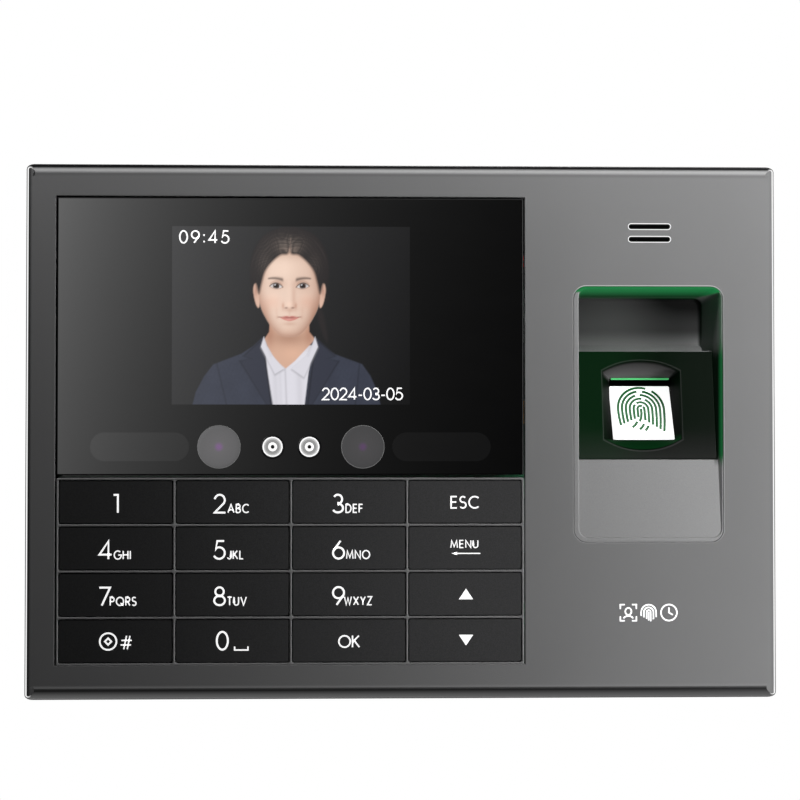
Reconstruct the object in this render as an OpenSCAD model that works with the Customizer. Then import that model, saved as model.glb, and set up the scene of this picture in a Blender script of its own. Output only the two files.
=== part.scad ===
// Wall-mounted fingerprint and face access terminal with a keypad.
// Frame: +X to the viewer's right, front towards -Y, +Z up.
// Origin: centre of the wall plate's screw pattern, on the wall plane y = 0.

/* [Casing] */
// Overall width
body_w = 182; // [170:1:200]
// Overall height
body_h = 130; // [122:1:145]
// Depth from the wall to the front face
body_d = 36; // [34:1:44]
// Wall thickness of the front casing
front_wall = 2.4; // [1.8:0.1:2.8]
// Wall thickness of the rear shell
rear_wall = 2.2; // [1.6:0.1:2.6]
// Corner radius seen from the front
corner_r = 1.6; // [0.5:0.1:3]
// Rounding of the upper front edge
top_edge_r = 2.7; // [1:0.1:3]
// Rounding of the lower front edge
bottom_edge_r = 3.3; // [1:0.1:3.5]
// Depth from the front face to the seam between the two shells
seam_d = 16; // [14:0.5:18]

/* [Window and keypad] */
// Left edge of the opening that holds the display lens and the keypad
open_left = -83.8; // [-85:0.1:-82]
// Width of that opening
open_w = 113.6; // [112.8:0.1:115]
// Lower edge of that opening
open_low = -56.4; // [-58:0.1:-55]
// Height of that opening
open_h = 113.4; // [112.4:0.1:115]
// Height of the display lens
lens_h = 67.2; // [64:0.1:67.2]
// Thickness of the display lens
lens_t = 2.1; // [1.2:0.1:2.3]
// Columns of keys
key_cols = 4; // [4:1:4]
// Rows of keys
key_rows = 4; // [4:1:4]
// Horizontal spacing of the keys
key_pitch_x = 28.1; // [27:0.1:28.1]
// Vertical spacing of the keys
key_pitch_z = 11.16; // [10:0.01:11.16]
// Width of the ribs between the keys
rib_w = 0.5; // [0.4:0.1:0.8]
// Gap between a key and the ribs round it
key_gap = 0.2; // [0.15:0.05:0.3]
// Travel of a key
key_travel = 0.6; // [0.3:0.1:0.6]

/* [Screen and cameras] */
// Width of the lit area, that of a 2.8 inch panel
screen_w = 57.6; // [50:0.1:60]
// Height of the lit area
screen_h = 43.2; // [38:0.1:45]
// Height of the lit area's centre above the wall screws' centre
screen_z = 28.1; // [26:0.1:29]
// Height of the row of cameras and lamps
optics_z = -3.75; // [-4.2:0.05:-3]
// Distance of each camera from the centre line of the screen
camera_x = 4.45; // [4:0.05:6]
// Outer diameter of a camera's front ring
camera_d = 4.6; // [3.6:0.1:5]
// Distance of each infrared lamp from that line
lamp_x = 17.4; // [16:0.1:18]
// Diameter of an infrared lamp
lamp_d = 10.5; // [8:0.1:11]
// Distance of each row of infrared diodes from that line
bar_x = 36.5; // [36:0.1:38]
// Length of a row of infrared diodes
bar_w = 23.9; // [18:0.1:24]
// Height of a row of infrared diodes
bar_h = 7; // [5:0.1:8]

/* [Speaker] */
// Horizontal place of the speaker
speaker_x = 60.3; // [56:0.1:64]
// Height of the speaker's centre
speaker_z = 48.4; // [48.4:0.1:49]
// Diameter of the speaker
speaker_d = 21; // [16:0.5:21]
// Length of a speaker slot
slot_w = 10.1; // [8:0.1:14]
// Height of a speaker slot
slot_h = 1.15; // [0.8:0.05:1.6]
// Spacing of the speaker slots
slot_pitch = 3.1; // [2.5:0.1:4]

/* [Finger well] */
// Horizontal centre of the finger well
well_x = 60.4; // [59:0.1:61]
// Height of the finger well's centre
well_z = 4.55; // [4:0.05:5]
// Width of the finger well's mouth
well_w = 34.8; // [32:0.1:35]
// Height of the finger well's mouth
well_h = 60.7; // [60.7:0.1:61]
// Depth of the finger well's back wall
well_d = 20; // [18:0.5:20]
// Draft of the finger well's walls, in degrees
well_draft = 2.5; // [1:0.5:3]
// Width of the glass platen
platen_w = 15.1; // [12:0.1:15.5]
// Slope of the glass platen from vertical, in degrees
platen_tilt = 30; // [26:1:32]

/* [Wall bracket] */
// Thickness of the wall plate
plate_t = 1.2; // [1:0.1:1.5]
// Width of the wall plate
plate_w = 120; // [110:1:130]
// Height of the wall plate
plate_h = 84; // [80:1:90]
// Horizontal spacing of the wall screws
wall_screw_x = 80; // [80:1:90]
// Vertical spacing of the wall screws
wall_screw_z = 60; // [60:1:64]
// Radius of the wall screw holes
wall_screw_r = 2.25; // [2:0.05:2.5]
// Lift that takes the terminal off its hooks
lift = 6.3; // [6:0.1:6.3]

/* [Hidden] */
$fn = 64;
eps = 0.01;

// planes, counted from the wall
front_y = -body_d;
seam_y = front_y + seam_d;
wall_back_y = front_y + front_wall;
shell_back_y = -0.4;
recess_y = -3.2;
floor_in_y = recess_y - rear_wall;
half_w = body_w / 2;
half_h = body_h / 2;

// opening for the lens and the keypad
open_right = open_left + open_w;
open_high = open_low + open_h;
open_x = (open_left + open_right) / 2;
fit_gap = 0.35;
lens_low = open_high - fit_gap - lens_h;
lens_front_y = front_y + 0.3;
shelf_w = 2.5;
shelf_t = 1.2;

// keypad
lattice_w = key_cols * key_pitch_x + rib_w;
lattice_h = key_rows * key_pitch_z + rib_w;
lattice_left = open_x - lattice_w / 2;
lattice_low = open_low + 0.02;
lattice_front_y = front_y + 0.1;
lattice_back_y = front_y + 3.4;
key_front_y = front_y + 0.25;
key_t = 2.2;
key_back_y = key_front_y + key_t;
key_w = key_pitch_x - rib_w - 2 * key_gap;
key_h = key_pitch_z - rib_w - 2 * key_gap;
stem_d = 4;
stem_y = key_back_y + 2;
mat_y = [lattice_back_y, lattice_back_y + 1];
dome_h = 0.3;
dome_d = 8;
dome_y = stem_y + key_travel + 0.05;
keypad_board_y = dome_y + dome_h;
board_t = 1.6;
keypad_board_w = key_cols * key_pitch_x + 1.6;
keypad_board_h = key_rows * key_pitch_z + 3;
ear_x = [open_left - 2.4, open_right + 4.7];
ear_z = lens_low + 4.6;
tab_x = [open_x - key_pitch_x, open_x + key_pitch_x];
tab_z = open_low - 4;

// optics and display, behind the lens
optics_y = [wall_back_y + 0.2, wall_back_y + 4.1];
face_board_y = optics_y[1];
display_y = [wall_back_y + 0.8, wall_back_y + 3.4];
display_w = 69.2;
display_h = 50.2;
display_z = screen_z - 1.2;

// boards
main_board_y = -10.6;
main_board = [-78, -50, 32, 46];
standoffs = [[-72, -44], [26, -44], [-72, 40], [26, 40]];
board_screw_d = 2;
board_screw_l = 3.6;
cell_at = [-42, -28];
cell_d = 20;

// casing screws
post_x = 82;
post_z = 56;
post_d = 6;
screw_shaft_d = 2.6;
screw_head_d = 5.4;
screw_seat_y = -8;

// rear shell
recess_w = 152;
recess_h = 100;
recess_corner = 5;
taper_run = 5;
taper_in = 3.6;
boss_h = 10;

// finger well
well_wall = 1.6;
well_lip = [1.3, 0.4, 1.1, 0.4]; // extra lip at left, right, bottom and top
well_lip_y = front_y + 0.45;
well_back = well_d + 1.8;
face_top = [8.4, 19.7]; // [depth, height] of the sensor face's ends
face_low = [3.6, -6.9];
ramp_low = [0.8, -25.75];
platen_len = 15.4;
platen_x = 60.1;
platen_low = [6.8, -1.9];
platen_t = 3;
platen_run = platen_len * [sin(platen_tilt), cos(platen_tilt)];
platen_high = platen_low + platen_run;
platen_in = platen_t * [cos(platen_tilt), -sin(platen_tilt)];
cut_from = 3; // depth in front of the sensor face, where its hollows start
scoop_x = 59.4; // horizontal centre of the hollow round the platen
scoop_w = 19.2;
hood_z = 14.9;
hood_deep = 7.5; // depth of the hood's front edge
hood_back = [13.4, hood_z - 1.6];
hood_rise = 2.6;
hood_r = (pow(scoop_w / 2, 2) + pow(hood_rise, 2)) / (2 * hood_rise);
scoop_z = -1.8;
scoop_deep = 3.9;
scoop_drop = 2.8;
scoop_r = (pow(scoop_w / 2, 2) + pow(scoop_drop, 2)) / (2 * scoop_drop);
// chips on the main board: [left, right, low, high, thickness]
CHIPS = [[-40, -26, 14, 28, 1.4], [-16, -6, 18, 28, 1.2], [4, 12, -30, -24, 1.2], [-66, -58, -36, -30, 1.2]];
capacitors = [[14, 34], [19, 34], [24, 34]];

// wall plate
hook_x = 35;
hook_w = 8;
hook_z = [30, -25];
hook_reach = -7;
hook_up = 7;
tongue_w = 18;
flange_z = -61.5;
flange_y = -12;
notch_w = 20;
lock_y = -8;
lock_d = 3;

// connectors
jack_x = 34;
jack_y = -15.2;
jack_r = 3.2;
usb_x = 58;
usb_y = -13.9;
usb_shell = [13.1, 5.7, 14];
usb_mouth = [12.5, 5.1];

KEYS = ["key_1", "key_2", "key_3", "key_esc",
        "key_4", "key_5", "key_6", "key_menu",
        "key_7", "key_8", "key_9", "key_up",
        "key_power_hash", "key_0", "key_ok", "key_down"];

// ---- helpers -------------------------------------------------------------

// an outline in [y, z], extruded from x0 to x1
module along_x(x0, x1) {
    translate([x0, 0, 0]) rotate([90, 0, 90]) linear_extrude(x1 - x0) children();
}

// an outline in [x, z], extruded from y0 to y1
module along_y(y0, y1) {
    translate([0, y1, 0]) rotate([90, 0, 0]) linear_extrude(y1 - y0) children();
}

// an outline in [x, y], extruded from z0 to z1
module along_z(z0, z1) {
    translate([0, 0, z0]) linear_extrude(z1 - z0) children();
}

// a box between two corners, in any order of y
module block(x0, x1, y0, y1, z0, z1) {
    translate([x0, y0, z0]) cube([x1 - x0, y1 - y0, z1 - z0]);
}

// a cylinder along y, from y0 to y1
module rod_y(x, z, d, y0, y1) {
    translate([x, y1, z]) rotate([90, 0, 0]) cylinder(d = d, h = y1 - y0);
}

// a rectangle with round corners, from its low corner
module rounded(w, h, r) {
    translate([r, 0]) square([w - 2 * r, h]);
    translate([0, r]) square([w, h - 2 * r]);
    for (x = [r, w - r], z = [r, h - r]) translate([x, z]) circle(r);
}

// what rounding by r takes away from a corner at the origin
module corner_scrap(r) {
    difference() {
        translate([-1, -1]) square(r + 1);
        translate([r, r]) circle(r);
    }
}

// a slot with round ends, centred
module pill(w, h) {
    square([w - h, h], center = true);
    for (side = [-1, 1]) translate([side * (w - h) / 2, 0]) circle(h / 2);
}

// a point [depth, height] in the finger well as [y, z]
function deep(p) = [front_y + p[0], p[1]];

// ---- wall bracket --------------------------------------------------------

module hook(z) {
    block(-hook_w / 2, hook_w / 2, hook_reach, -plate_t, z, z + plate_t);
    block(-hook_w / 2, hook_w / 2, hook_reach, hook_reach + plate_t, z, z + hook_up);
}

module wall_plate() {
    color("silver") difference() {
        union() {
            translate([-plate_w / 2, 0, 0]) along_y(-plate_t, 0)
                translate([0, -plate_h / 2]) rounded(plate_w, plate_h, 4);
            block(-tongue_w / 2, tongue_w / 2, -plate_t, 0, flange_z, -plate_h / 2 + 1);
            block(-tongue_w / 2, tongue_w / 2, flange_y, 0, flange_z, flange_z + plate_t);
            for (side = [-1, 1], z = hook_z) translate([side * hook_x, 0, 0]) hook(z);
        }
        for (sx = [-1, 1], sz = [-1, 1])
            rod_y(sx * wall_screw_x / 2, sz * wall_screw_z / 2, 2 * wall_screw_r, -3, 1);
        // cable passage to the flush box
        along_y(-3, 1) translate([0, 4]) pill(44, 26);
        translate([0, lock_y, flange_z - 1]) cylinder(d = lock_d + 0.4, h = 4);
    }
}

module plate_lock_screw() {
    color("dimgray") translate([0, lock_y, 0]) difference() {
        union() {
            translate([0, 0, flange_z - 2.2]) cylinder(d = 5.6, h = 2.2);
            translate([0, 0, flange_z - 1]) cylinder(d = lock_d, h = 9);
        }
        cross_recess(flange_z - 2.2, 1.2);
    }
}

// a cross recess in a screw head that faces -Z
module cross_recess(z, depth) {
    for (a = [0, 90]) rotate([0, 0, a])
        translate([-1.4, -0.35, z - 1]) cube([2.8, 0.7, depth + 1]);
}

// ---- front casing --------------------------------------------------------

module side_profile(y0, y1) {
    difference() {
        translate([y0, -half_h]) square([y1 - y0, body_h]);
        translate([y0, -half_h]) corner_scrap(bottom_edge_r);
        translate([y0, half_h]) mirror([0, 1]) corner_scrap(top_edge_r);
    }
}

module front_block() {
    intersection() {
        along_y(front_y, seam_y)
            translate([-half_w, -half_h]) rounded(body_w, body_h, corner_r);
        along_x(-half_w, half_w) side_profile(front_y, seam_y);
        along_z(-half_h, half_h) difference() {
            translate([-half_w, front_y]) square([body_w, seam_d]);
            translate([-half_w, front_y]) corner_scrap(0.9);
            translate([half_w, front_y]) mirror([1, 0]) corner_scrap(0.9);
        }
    }
}

// a screw post on the front casing, with a pilot hole and a web to the side wall
module casing_post(sx, sz, y0) {
    translate([sx * post_x, 0, sz * post_z]) {
        difference() {
            union() {
                rod_y(0, 0, post_d, y0, seam_y - 0.5);
                translate([sx > 0 ? 0 : -half_w + post_x + 1, 0, 0])
                    block(0, half_w - post_x - 1, y0, seam_y - 0.5, -1, 1);
            }
            rod_y(0, 0, 2.2, y0 + 2, seam_y);
        }
    }
}

// a small post on the front casing that takes a board screw
module board_post(x, z, y0, y1) {
    difference() {
        rod_y(x, z, 4, y0, y1);
        rod_y(x, z, board_screw_d - 0.4, y0 + 0.8, y1 + 1);
    }
}

// the well's lip as seen from the front, grown by g
module lip_outline(g) {
    translate([well_x - well_w / 2 - well_lip[0] - g, well_z - well_h / 2 - well_lip[2] - g])
        rounded(well_w + well_lip[0] + well_lip[1] + 2 * g,
                well_h + well_lip[2] + well_lip[3] + 2 * g, 3.1 + g);
}

module front_casing() {
    color([0.36, 0.36, 0.37]) difference() {
        union() {
            difference() {
                front_block();
                block(-half_w + front_wall, half_w - front_wall, wall_back_y, seam_y + 1,
                      -half_h + front_wall, half_h - front_wall);
            }
            // shelf behind the lens
            block(open_left - 1, open_right + 1, wall_back_y - eps, wall_back_y + shelf_t,
                  lens_low + 2.7, open_high + 1);
            for (sx = [-1, 1], sz = [-1, 1])
                casing_post(sx, sz, sx < 0 ? wall_back_y + 1.2 : wall_back_y - eps);
            for (x = ear_x) board_post(x, ear_z, wall_back_y - eps, keypad_board_y);
            for (x = tab_x) board_post(x, tab_z, wall_back_y - eps, keypad_board_y);
        }
        block(open_left, open_right, front_y - 1, wall_back_y, open_low, open_high);
        block(open_left + shelf_w, open_right - shelf_w, wall_back_y - 1,
              wall_back_y + shelf_t + 1, lens_low + 2, open_high - shelf_w);
        block(open_left, open_right, wall_back_y - 1, wall_back_y, open_low, lens_low + 2);
        along_y(front_y - 1, wall_back_y + 1) lip_outline(0.1);
        for (side = [-0.5, 0.5])
            along_y(front_y - 1, wall_back_y + 1)
                translate([speaker_x, speaker_z + side * slot_pitch]) pill(slot_w, slot_h);
    }
}

// ---- rear shell ----------------------------------------------------------

module rear_block() {
    along_y(seam_y, shell_back_y)
        translate([-half_w, -half_h]) rounded(body_w, body_h, corner_r);
    // the tongue that locates the front casing
    inset = front_wall + 0.15;
    difference() {
        block(-half_w + inset, half_w - inset, seam_y - 1.4, seam_y + 1,
              -half_h + inset, half_h - inset);
        block(-half_w + inset + 1, half_w - inset - 1, seam_y - 3, seam_y + 2,
              -half_h + inset + 1, half_h - inset - 1);
        for (sx = [-1, 1], sz = [-1, 1])
            block(sx * half_w - 8, sx * half_w + 8, seam_y - 3, seam_y,
                  sz * post_z - 1.4, sz * post_z + 1.4);
    }
}

// chamfer that narrows the shell towards the wall
module rear_taper() {
    y0 = shell_back_y - taper_run;
    y1 = shell_back_y + 1;
    for (s = [-1, 1]) {
        along_x(-half_w - 1, half_w + 1)
            polygon([[y0, s * half_h], [y1, s * (half_h - taper_in)],
                     [y1, s * (half_h + 1)], [y0, s * (half_h + 1)]]);
        along_z(-half_h - 1, half_h + 1)
            polygon([[s * half_w, y0], [s * (half_w - taper_in), y1],
                     [s * (half_w + 1), y1], [s * (half_w + 1), y0]]);
    }
}

module rear_cavity() {
    // between the walls, up to the rim
    block(-half_w + rear_wall + 2, half_w - rear_wall - 2, seam_y - 3, shell_back_y - rear_wall,
          -half_h + rear_wall + 2, half_h - rear_wall - 2);
    block(-half_w + rear_wall, half_w - rear_wall, seam_y - 3, shell_back_y - 6,
          -half_h + rear_wall, half_h - rear_wall);
}

module rear_shell() {
    color([0.2, 0.2, 0.21]) difference() {
        union() {
            difference() {
                rear_block();
                rear_taper();
                difference() {
                    rear_cavity();
                    block(-recess_w / 2 - rear_wall, recess_w / 2 + rear_wall, floor_in_y, 0,
                          -recess_h / 2 - rear_wall, recess_h / 2 + rear_wall);
                }
            }
            for (sx = [-1, 1], sz = [-1, 1])
                rod_y(sx * post_x, sz * post_z, 8.4, seam_y + 0.1, shell_back_y - 0.5);
            for (p = standoffs) rod_y(p[0], p[1], 5, main_board_y + board_t, floor_in_y + 0.5);
            // boss for the lock screw
            block(-5, 5, lock_y - 5, floor_in_y + 1, -60, -60 + boss_h);
        }
        along_y(recess_y, 1) translate([-recess_w / 2, -recess_h / 2])
            rounded(recess_w, recess_h, recess_corner);
        // channel and notch for the plate's tongue and flange
        block(-notch_w / 2, notch_w / 2, recess_y, 1, -half_h - 1, -recess_h / 2 + 1);
        block(-notch_w / 2, notch_w / 2, -14, 1, -half_h - 1, -60);
        translate([0, lock_y, -61]) cylinder(d = lock_d + 0.4, h = 20);
        // hook slots
        for (side = [-1, 1], z = hook_z)
            block(side * hook_x - hook_w / 2 - 0.3, side * hook_x + hook_w / 2 + 0.3,
                  floor_in_y - 1, 0, z - lift - 0.5, z + plate_t + 0.1);
        // casing screw wells
        for (sx = [-1, 1], sz = [-1, 1]) {
            rod_y(sx * post_x, sz * post_z, 6, screw_seat_y, 1);
            rod_y(sx * post_x, sz * post_z, 3, seam_y - 1, 0);
        }
        for (p = standoffs)
            rod_y(p[0], p[1], board_screw_d - 0.4, main_board_y - 1, floor_in_y - 0.3);
        // cable passage, opposite the one in the wall plate
        along_y(floor_in_y - 1, 1) translate([0, 4]) pill(36, 16);
        // connector mouths in the bottom wall
        translate([jack_x, jack_y, -half_h - 1]) cylinder(r = jack_r + 0.6, h = 6);
        along_z(-half_h - 1, -half_h + 5) translate([usb_x, usb_y])
            square([usb_mouth[0] + 0.8, usb_mouth[1] + 0.8], center = true);
    }
}

module casing_screws() {
    color("dimgray") for (sx = [-1, 1], sz = [-1, 1])
        translate([sx * post_x, screw_seat_y, sz * post_z]) rotate([-90, 0, 0])
            difference() {
                union() {
                    cylinder(d = screw_head_d, h = 2);
                    translate([0, 0, -20]) cylinder(d = screw_shaft_d - 0.4, h = 21);
                }
                for (a = [0, 90]) rotate([0, 0, a])
                    translate([-1.4, -0.35, 1]) cube([2.8, 0.7, 2]);
            }
}

module rating_label() {
    color("gainsboro") translate([-30, 0, 52]) along_y(shell_back_y, shell_back_y + 0.1)
        rounded(60, 8, 1);
}

// ---- lens, display and optics --------------------------------------------

module display_lens() {
    color([0.06, 0.06, 0.07]) block(open_left + fit_gap, open_right - fit_gap, lens_front_y,
                                    lens_front_y + lens_t, lens_low, open_high - fit_gap);
}

// a flat ring in the [x, z] plane, centred, with a wall of the given width
module ring_frame(w, h, wall) {
    difference() {
        square([w, h], center = true);
        square([w - 2 * wall, h - 2 * wall], center = true);
    }
}

module display_gasket() {
    color([0.1, 0.1, 0.1]) translate([open_x, 0, screen_z])
        along_y(lens_front_y + lens_t, display_y[0]) ring_frame(screen_w + 5, screen_h + 5, 2);
}

module display_panel() {
    color([0.25, 0.28, 0.33]) difference() {
        translate([open_x, 0, display_z])
            along_y(display_y[0], display_y[1]) square([display_w, display_h], center = true);
        translate([open_x, 0, screen_z])
            along_y(display_y[0] - 1, display_y[0] + 0.3) square([screen_w, screen_h], center = true);
    }
}

// a flat flex strip that runs down from z1 to z0, set back by a bend at each end
module flex(x, w, y_from, y_to, z_from, z_to) {
    t = 0.3;
    block(x - w / 2, x + w / 2, min(y_from, y_to), max(y_from, y_to), z_from - t, z_from);
    block(x - w / 2, x + w / 2, y_to - t, y_to, min(z_from - t, z_to), max(z_from, z_to));
}

module display_ribbon() {
    color([0.72, 0.45, 0.15]) flex(open_x - 12, 18, display_y[1], main_board_y - 0.4, 12, -8);
}

module face_board() {
    color([0.1, 0.3, 0.16]) difference() {
        block(open_x - 49, open_x + 49, face_board_y, face_board_y + 1.2, optics_z - 5.4, optics_z + 5.4);
        for (side = [-1, 1]) rod_y(open_x + side * 26.5, optics_z, 2.2, face_board_y - 1, face_board_y + 3);
    }
}

module camera_module(x) {
    color([0.85, 0.86, 0.88]) difference() {
        union() {
            block(x - 3.2, x + 3.2, optics_y[1] - 1.8, optics_y[1], optics_z - 3.2, optics_z + 3.2);
            rod_y(x, optics_z, camera_d, optics_y[0], optics_y[1] - 1);
        }
        rod_y(x, optics_z, 1.6, optics_y[0] - 1, optics_y[0] + 0.8);
    }
}

module camera_module_left() { camera_module(open_x - camera_x); }
module camera_module_right() { camera_module(open_x + camera_x); }

module lamp(x) {
    color([0.5, 0.48, 0.52]) difference() {
        rod_y(x, optics_z, lamp_d, optics_y[0], optics_y[1]);
        rod_y(x, optics_z, lamp_d - 1.6, optics_y[0] - 1, optics_y[0] + 1.6);
        rod_y(x, optics_z, 5, optics_y[0], optics_y[0] + 2.4);
    }
}

module lamp_left() { lamp(open_x - lamp_x); }
module lamp_right() { lamp(open_x + lamp_x); }

module ir_led_bar(x) {
    color([0.2, 0.18, 0.24]) {
        translate([x, 0, optics_z]) along_y(optics_y[1] - 1, optics_y[1]) pill(bar_w, bar_h);
        for (i = [-2 : 2]) block(x + i * 4.2 - 1.2, x + i * 4.2 + 1.2, optics_y[1] - 2.2, optics_y[1] - 1,
                                 optics_z - 1.2, optics_z + 1.2);
    }
}

module ir_led_bar_left() { ir_led_bar(open_x - bar_x); }
module ir_led_bar_right() { ir_led_bar(open_x + bar_x); }

// ---- keypad --------------------------------------------------------------

// centre of key i, counted along the rows from the upper left
function key_x(i) = open_x + ((i % key_cols) - (key_cols - 1) / 2) * key_pitch_x;
function key_z(i) = lattice_low + lattice_h / 2
    + ((key_rows - 1) / 2 - floor(i / key_cols)) * key_pitch_z;

module key_lattice() {
    flange = 1.65;
    color([0.42, 0.42, 0.43]) {
        difference() {
            block(lattice_left, lattice_left + lattice_w, lattice_front_y, lattice_back_y,
                  lattice_low, lattice_low + lattice_h);
            for (i = [0 : len(KEYS) - 1])
                translate([key_x(i), 0, key_z(i)]) along_y(lattice_front_y - 1, lattice_back_y + 1)
                    square([key_pitch_x - rib_w, key_pitch_z - rib_w], center = true);
        }
        // flange that holds the lattice behind the casing and carries the lens
        difference() {
            block(lattice_left - flange, lattice_left + lattice_w + flange, wall_back_y + 0.1,
                  lattice_back_y, lattice_low - flange, lens_low + 1.3);
            block(lattice_left + rib_w / 2, lattice_left + lattice_w - rib_w / 2, front_y,
                  lattice_back_y + 1, lattice_low + rib_w / 2, lattice_low + lattice_h - rib_w / 2);
        }
    }
}

module key(i) {
    color([0.13, 0.13, 0.14]) {
        translate([key_x(i) - key_w / 2, 0, key_z(i) - key_h / 2])
            along_y(key_front_y, key_back_y) rounded(key_w, key_h, 0.5);
        rod_y(key_x(i), key_z(i), stem_d, key_back_y - 0.5, stem_y);
    }
}

// what the corner posts need cleared from the keypad's layers
module post_notches(y0, y1) {
    for (sz = [-1, 1])
        block(-post_x - 8, -post_x + 3.6, y0, y1, sz * post_z - 3.6, sz * post_z + 3.6);
}

module keypad_mat() {
    color([0.16, 0.16, 0.17]) difference() {
        block(open_left + 0.4, open_right - 0.4, mat_y[0], mat_y[1], open_low + 0.4, lattice_low + lattice_h);
        for (i = [0 : len(KEYS) - 1])
            rod_y(key_x(i), key_z(i), stem_d + 0.8, mat_y[0] - 1, mat_y[1] + 1);
        post_notches(mat_y[0] - 1, mat_y[1] + 1);
    }
}

module snap_domes() {
    color("silver") for (i = [0 : len(KEYS) - 1])
        translate([key_x(i), keypad_board_y, key_z(i)]) rotate([90, 0, 0])
            cylinder(d1 = dome_d, d2 = dome_d - 3.4, h = dome_h);
}

module keypad_board() {
    y0 = keypad_board_y;
    y1 = keypad_board_y + board_t;
    mid_z = lattice_low + lattice_h / 2;
    color([0.1, 0.32, 0.18]) difference() {
        union() {
            block(open_x - keypad_board_w / 2, open_x + keypad_board_w / 2, y0, y1,
                  mid_z - keypad_board_h / 2, mid_z + keypad_board_h / 2);
            for (x = tab_x) block(x - 3, x + 3, y0, y1, tab_z - 2, open_low + 2);
            for (s = [0, 1]) {
                inner = open_x + (s * 2 - 1) * (keypad_board_w / 2 - 2);
                block(min(ear_x[s] - 2, inner), max(ear_x[s] + 2, inner), y0, y1,
                      lens_low - 5, lens_low - 1);
                block(ear_x[s] - 2, ear_x[s] + 2, y0, y1, lens_low - 5, ear_z + 2.5);
            }
        }
        for (x = tab_x) rod_y(x, tab_z, board_screw_d + 0.3, y0 - 1, y1 + 1);
        for (x = ear_x) rod_y(x, ear_z, board_screw_d + 0.3, y0 - 1, y1 + 1);
        post_notches(y0 - 1, y1 + 1);
    }
}

module keypad_ribbon() {
    color([0.72, 0.45, 0.15])
        flex(open_x + 20, 12, keypad_board_y + board_t, main_board_y - 0.4, -30, -12);
}

// ---- speaker -------------------------------------------------------------

module speaker_gasket() {
    color([0.08, 0.08, 0.08]) difference() {
        rod_y(speaker_x, speaker_z, speaker_d, wall_back_y, wall_back_y + 0.8);
        rod_y(speaker_x, speaker_z, speaker_d - 4, wall_back_y - 1, wall_back_y + 2);
    }
}

module speaker() {
    y0 = wall_back_y + 0.8;
    color([0.3, 0.3, 0.32]) difference() {
        union() {
            rod_y(speaker_x, speaker_z, speaker_d, y0, y0 + 2.4);
            rod_y(speaker_x, speaker_z, speaker_d * 0.6, y0 + 2, y0 + 5);
        }
        rod_y(speaker_x, speaker_z, speaker_d - 3, y0 - 1, y0 + 0.7);
    }
}

// two wires from the speaker to the main board
module speaker_lead() {
    wire_r = 0.6;
    y_far = main_board_y - 1.2;
    y_near = wall_back_y + 3.2;
    color("firebrick") for (s = [-1, 1]) {
        z = speaker_z - 4.6 + s * 0.9;
        x0 = speaker_x - 8.5;
        x1 = 28;
        rod_y(x0, z, 2 * wire_r, y_near, y_far);
        translate([x0, y_far, z]) sphere(wire_r);
        translate([x1, y_far, z]) rotate([0, 90, 0]) cylinder(r = wire_r, h = x0 - x1);
    }
}

// ---- finger well and sensor ----------------------------------------------

// the well's hollow: walls drawn in by the draft as they go deeper
module well_hollow() {
    shrink = well_d * tan(well_draft);
    r = 2.2;
    x0 = well_x - well_w / 2;
    x1 = well_x + well_w / 2;
    z0 = well_z - well_h / 2;
    z1 = well_z + well_h / 2;
    over = 1;
    g = over * tan(well_draft);
    hull() {
        for (x = [x0 + r, x1 - r], z = [z0 + r, z1 - r])
            rod_y(x, z, 2 * (r + g), front_y - over, front_y - over + eps, $fn = 32);
        for (x = [x0 + r + shrink, x1 - r - shrink], z = [z0 + r, z1 - r - shrink])
            rod_y(x, z, 2 * r, front_y + well_d - eps, front_y + well_d, $fn = 32);
    }
}

module finger_well() {
    x0 = well_x - well_w / 2 - well_wall + 0.4;
    x1 = well_x + well_w / 2 + well_wall - 0.4;
    z0 = well_z - well_h / 2 - well_lip[2] + 0.3;
    z1 = well_z + well_h / 2 + well_wall;
    y_back = front_y + well_back;
    color([0.55, 0.55, 0.56]) difference() {
        union() {
            along_y(well_lip_y, wall_back_y + 1.4) lip_outline(0);
            along_y(wall_back_y + 0.05, wall_back_y + 1.4) lip_outline(1.8);
            block(x0, x1, wall_back_y, y_back, z0, z1);
        }
        difference() {
            well_hollow();
            // the ramp below the sensor
            along_x(x0 - 2, x1 + 2) polygon([
                deep([0.3, ramp_low[1] - 4]), deep([0.3, ramp_low[1] - 0.45]), deep(ramp_low),
                deep(face_low), deep([well_back, face_low[1]]), deep([well_back, ramp_low[1] - 4])]);
        }
        // room for the sensor behind its face
        block(x0 + 1.5, x1 - 1.5, front_y + face_low[0], y_back + 1, face_low[1], face_top[1] + 0.3);
        // underside of the ramp, so the wall stays even
        along_x(x0 + 1.6, x1 - 1.6) polygon([
            deep([ramp_low[0] + 3.4, ramp_low[1] + 2]), deep([face_low[0] + 2.4, face_low[1] - 1.8]),
            deep([well_back + 1, face_low[1] - 1.8]), deep([well_back + 1, ramp_low[1] + 2])]);
    }
}

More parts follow.
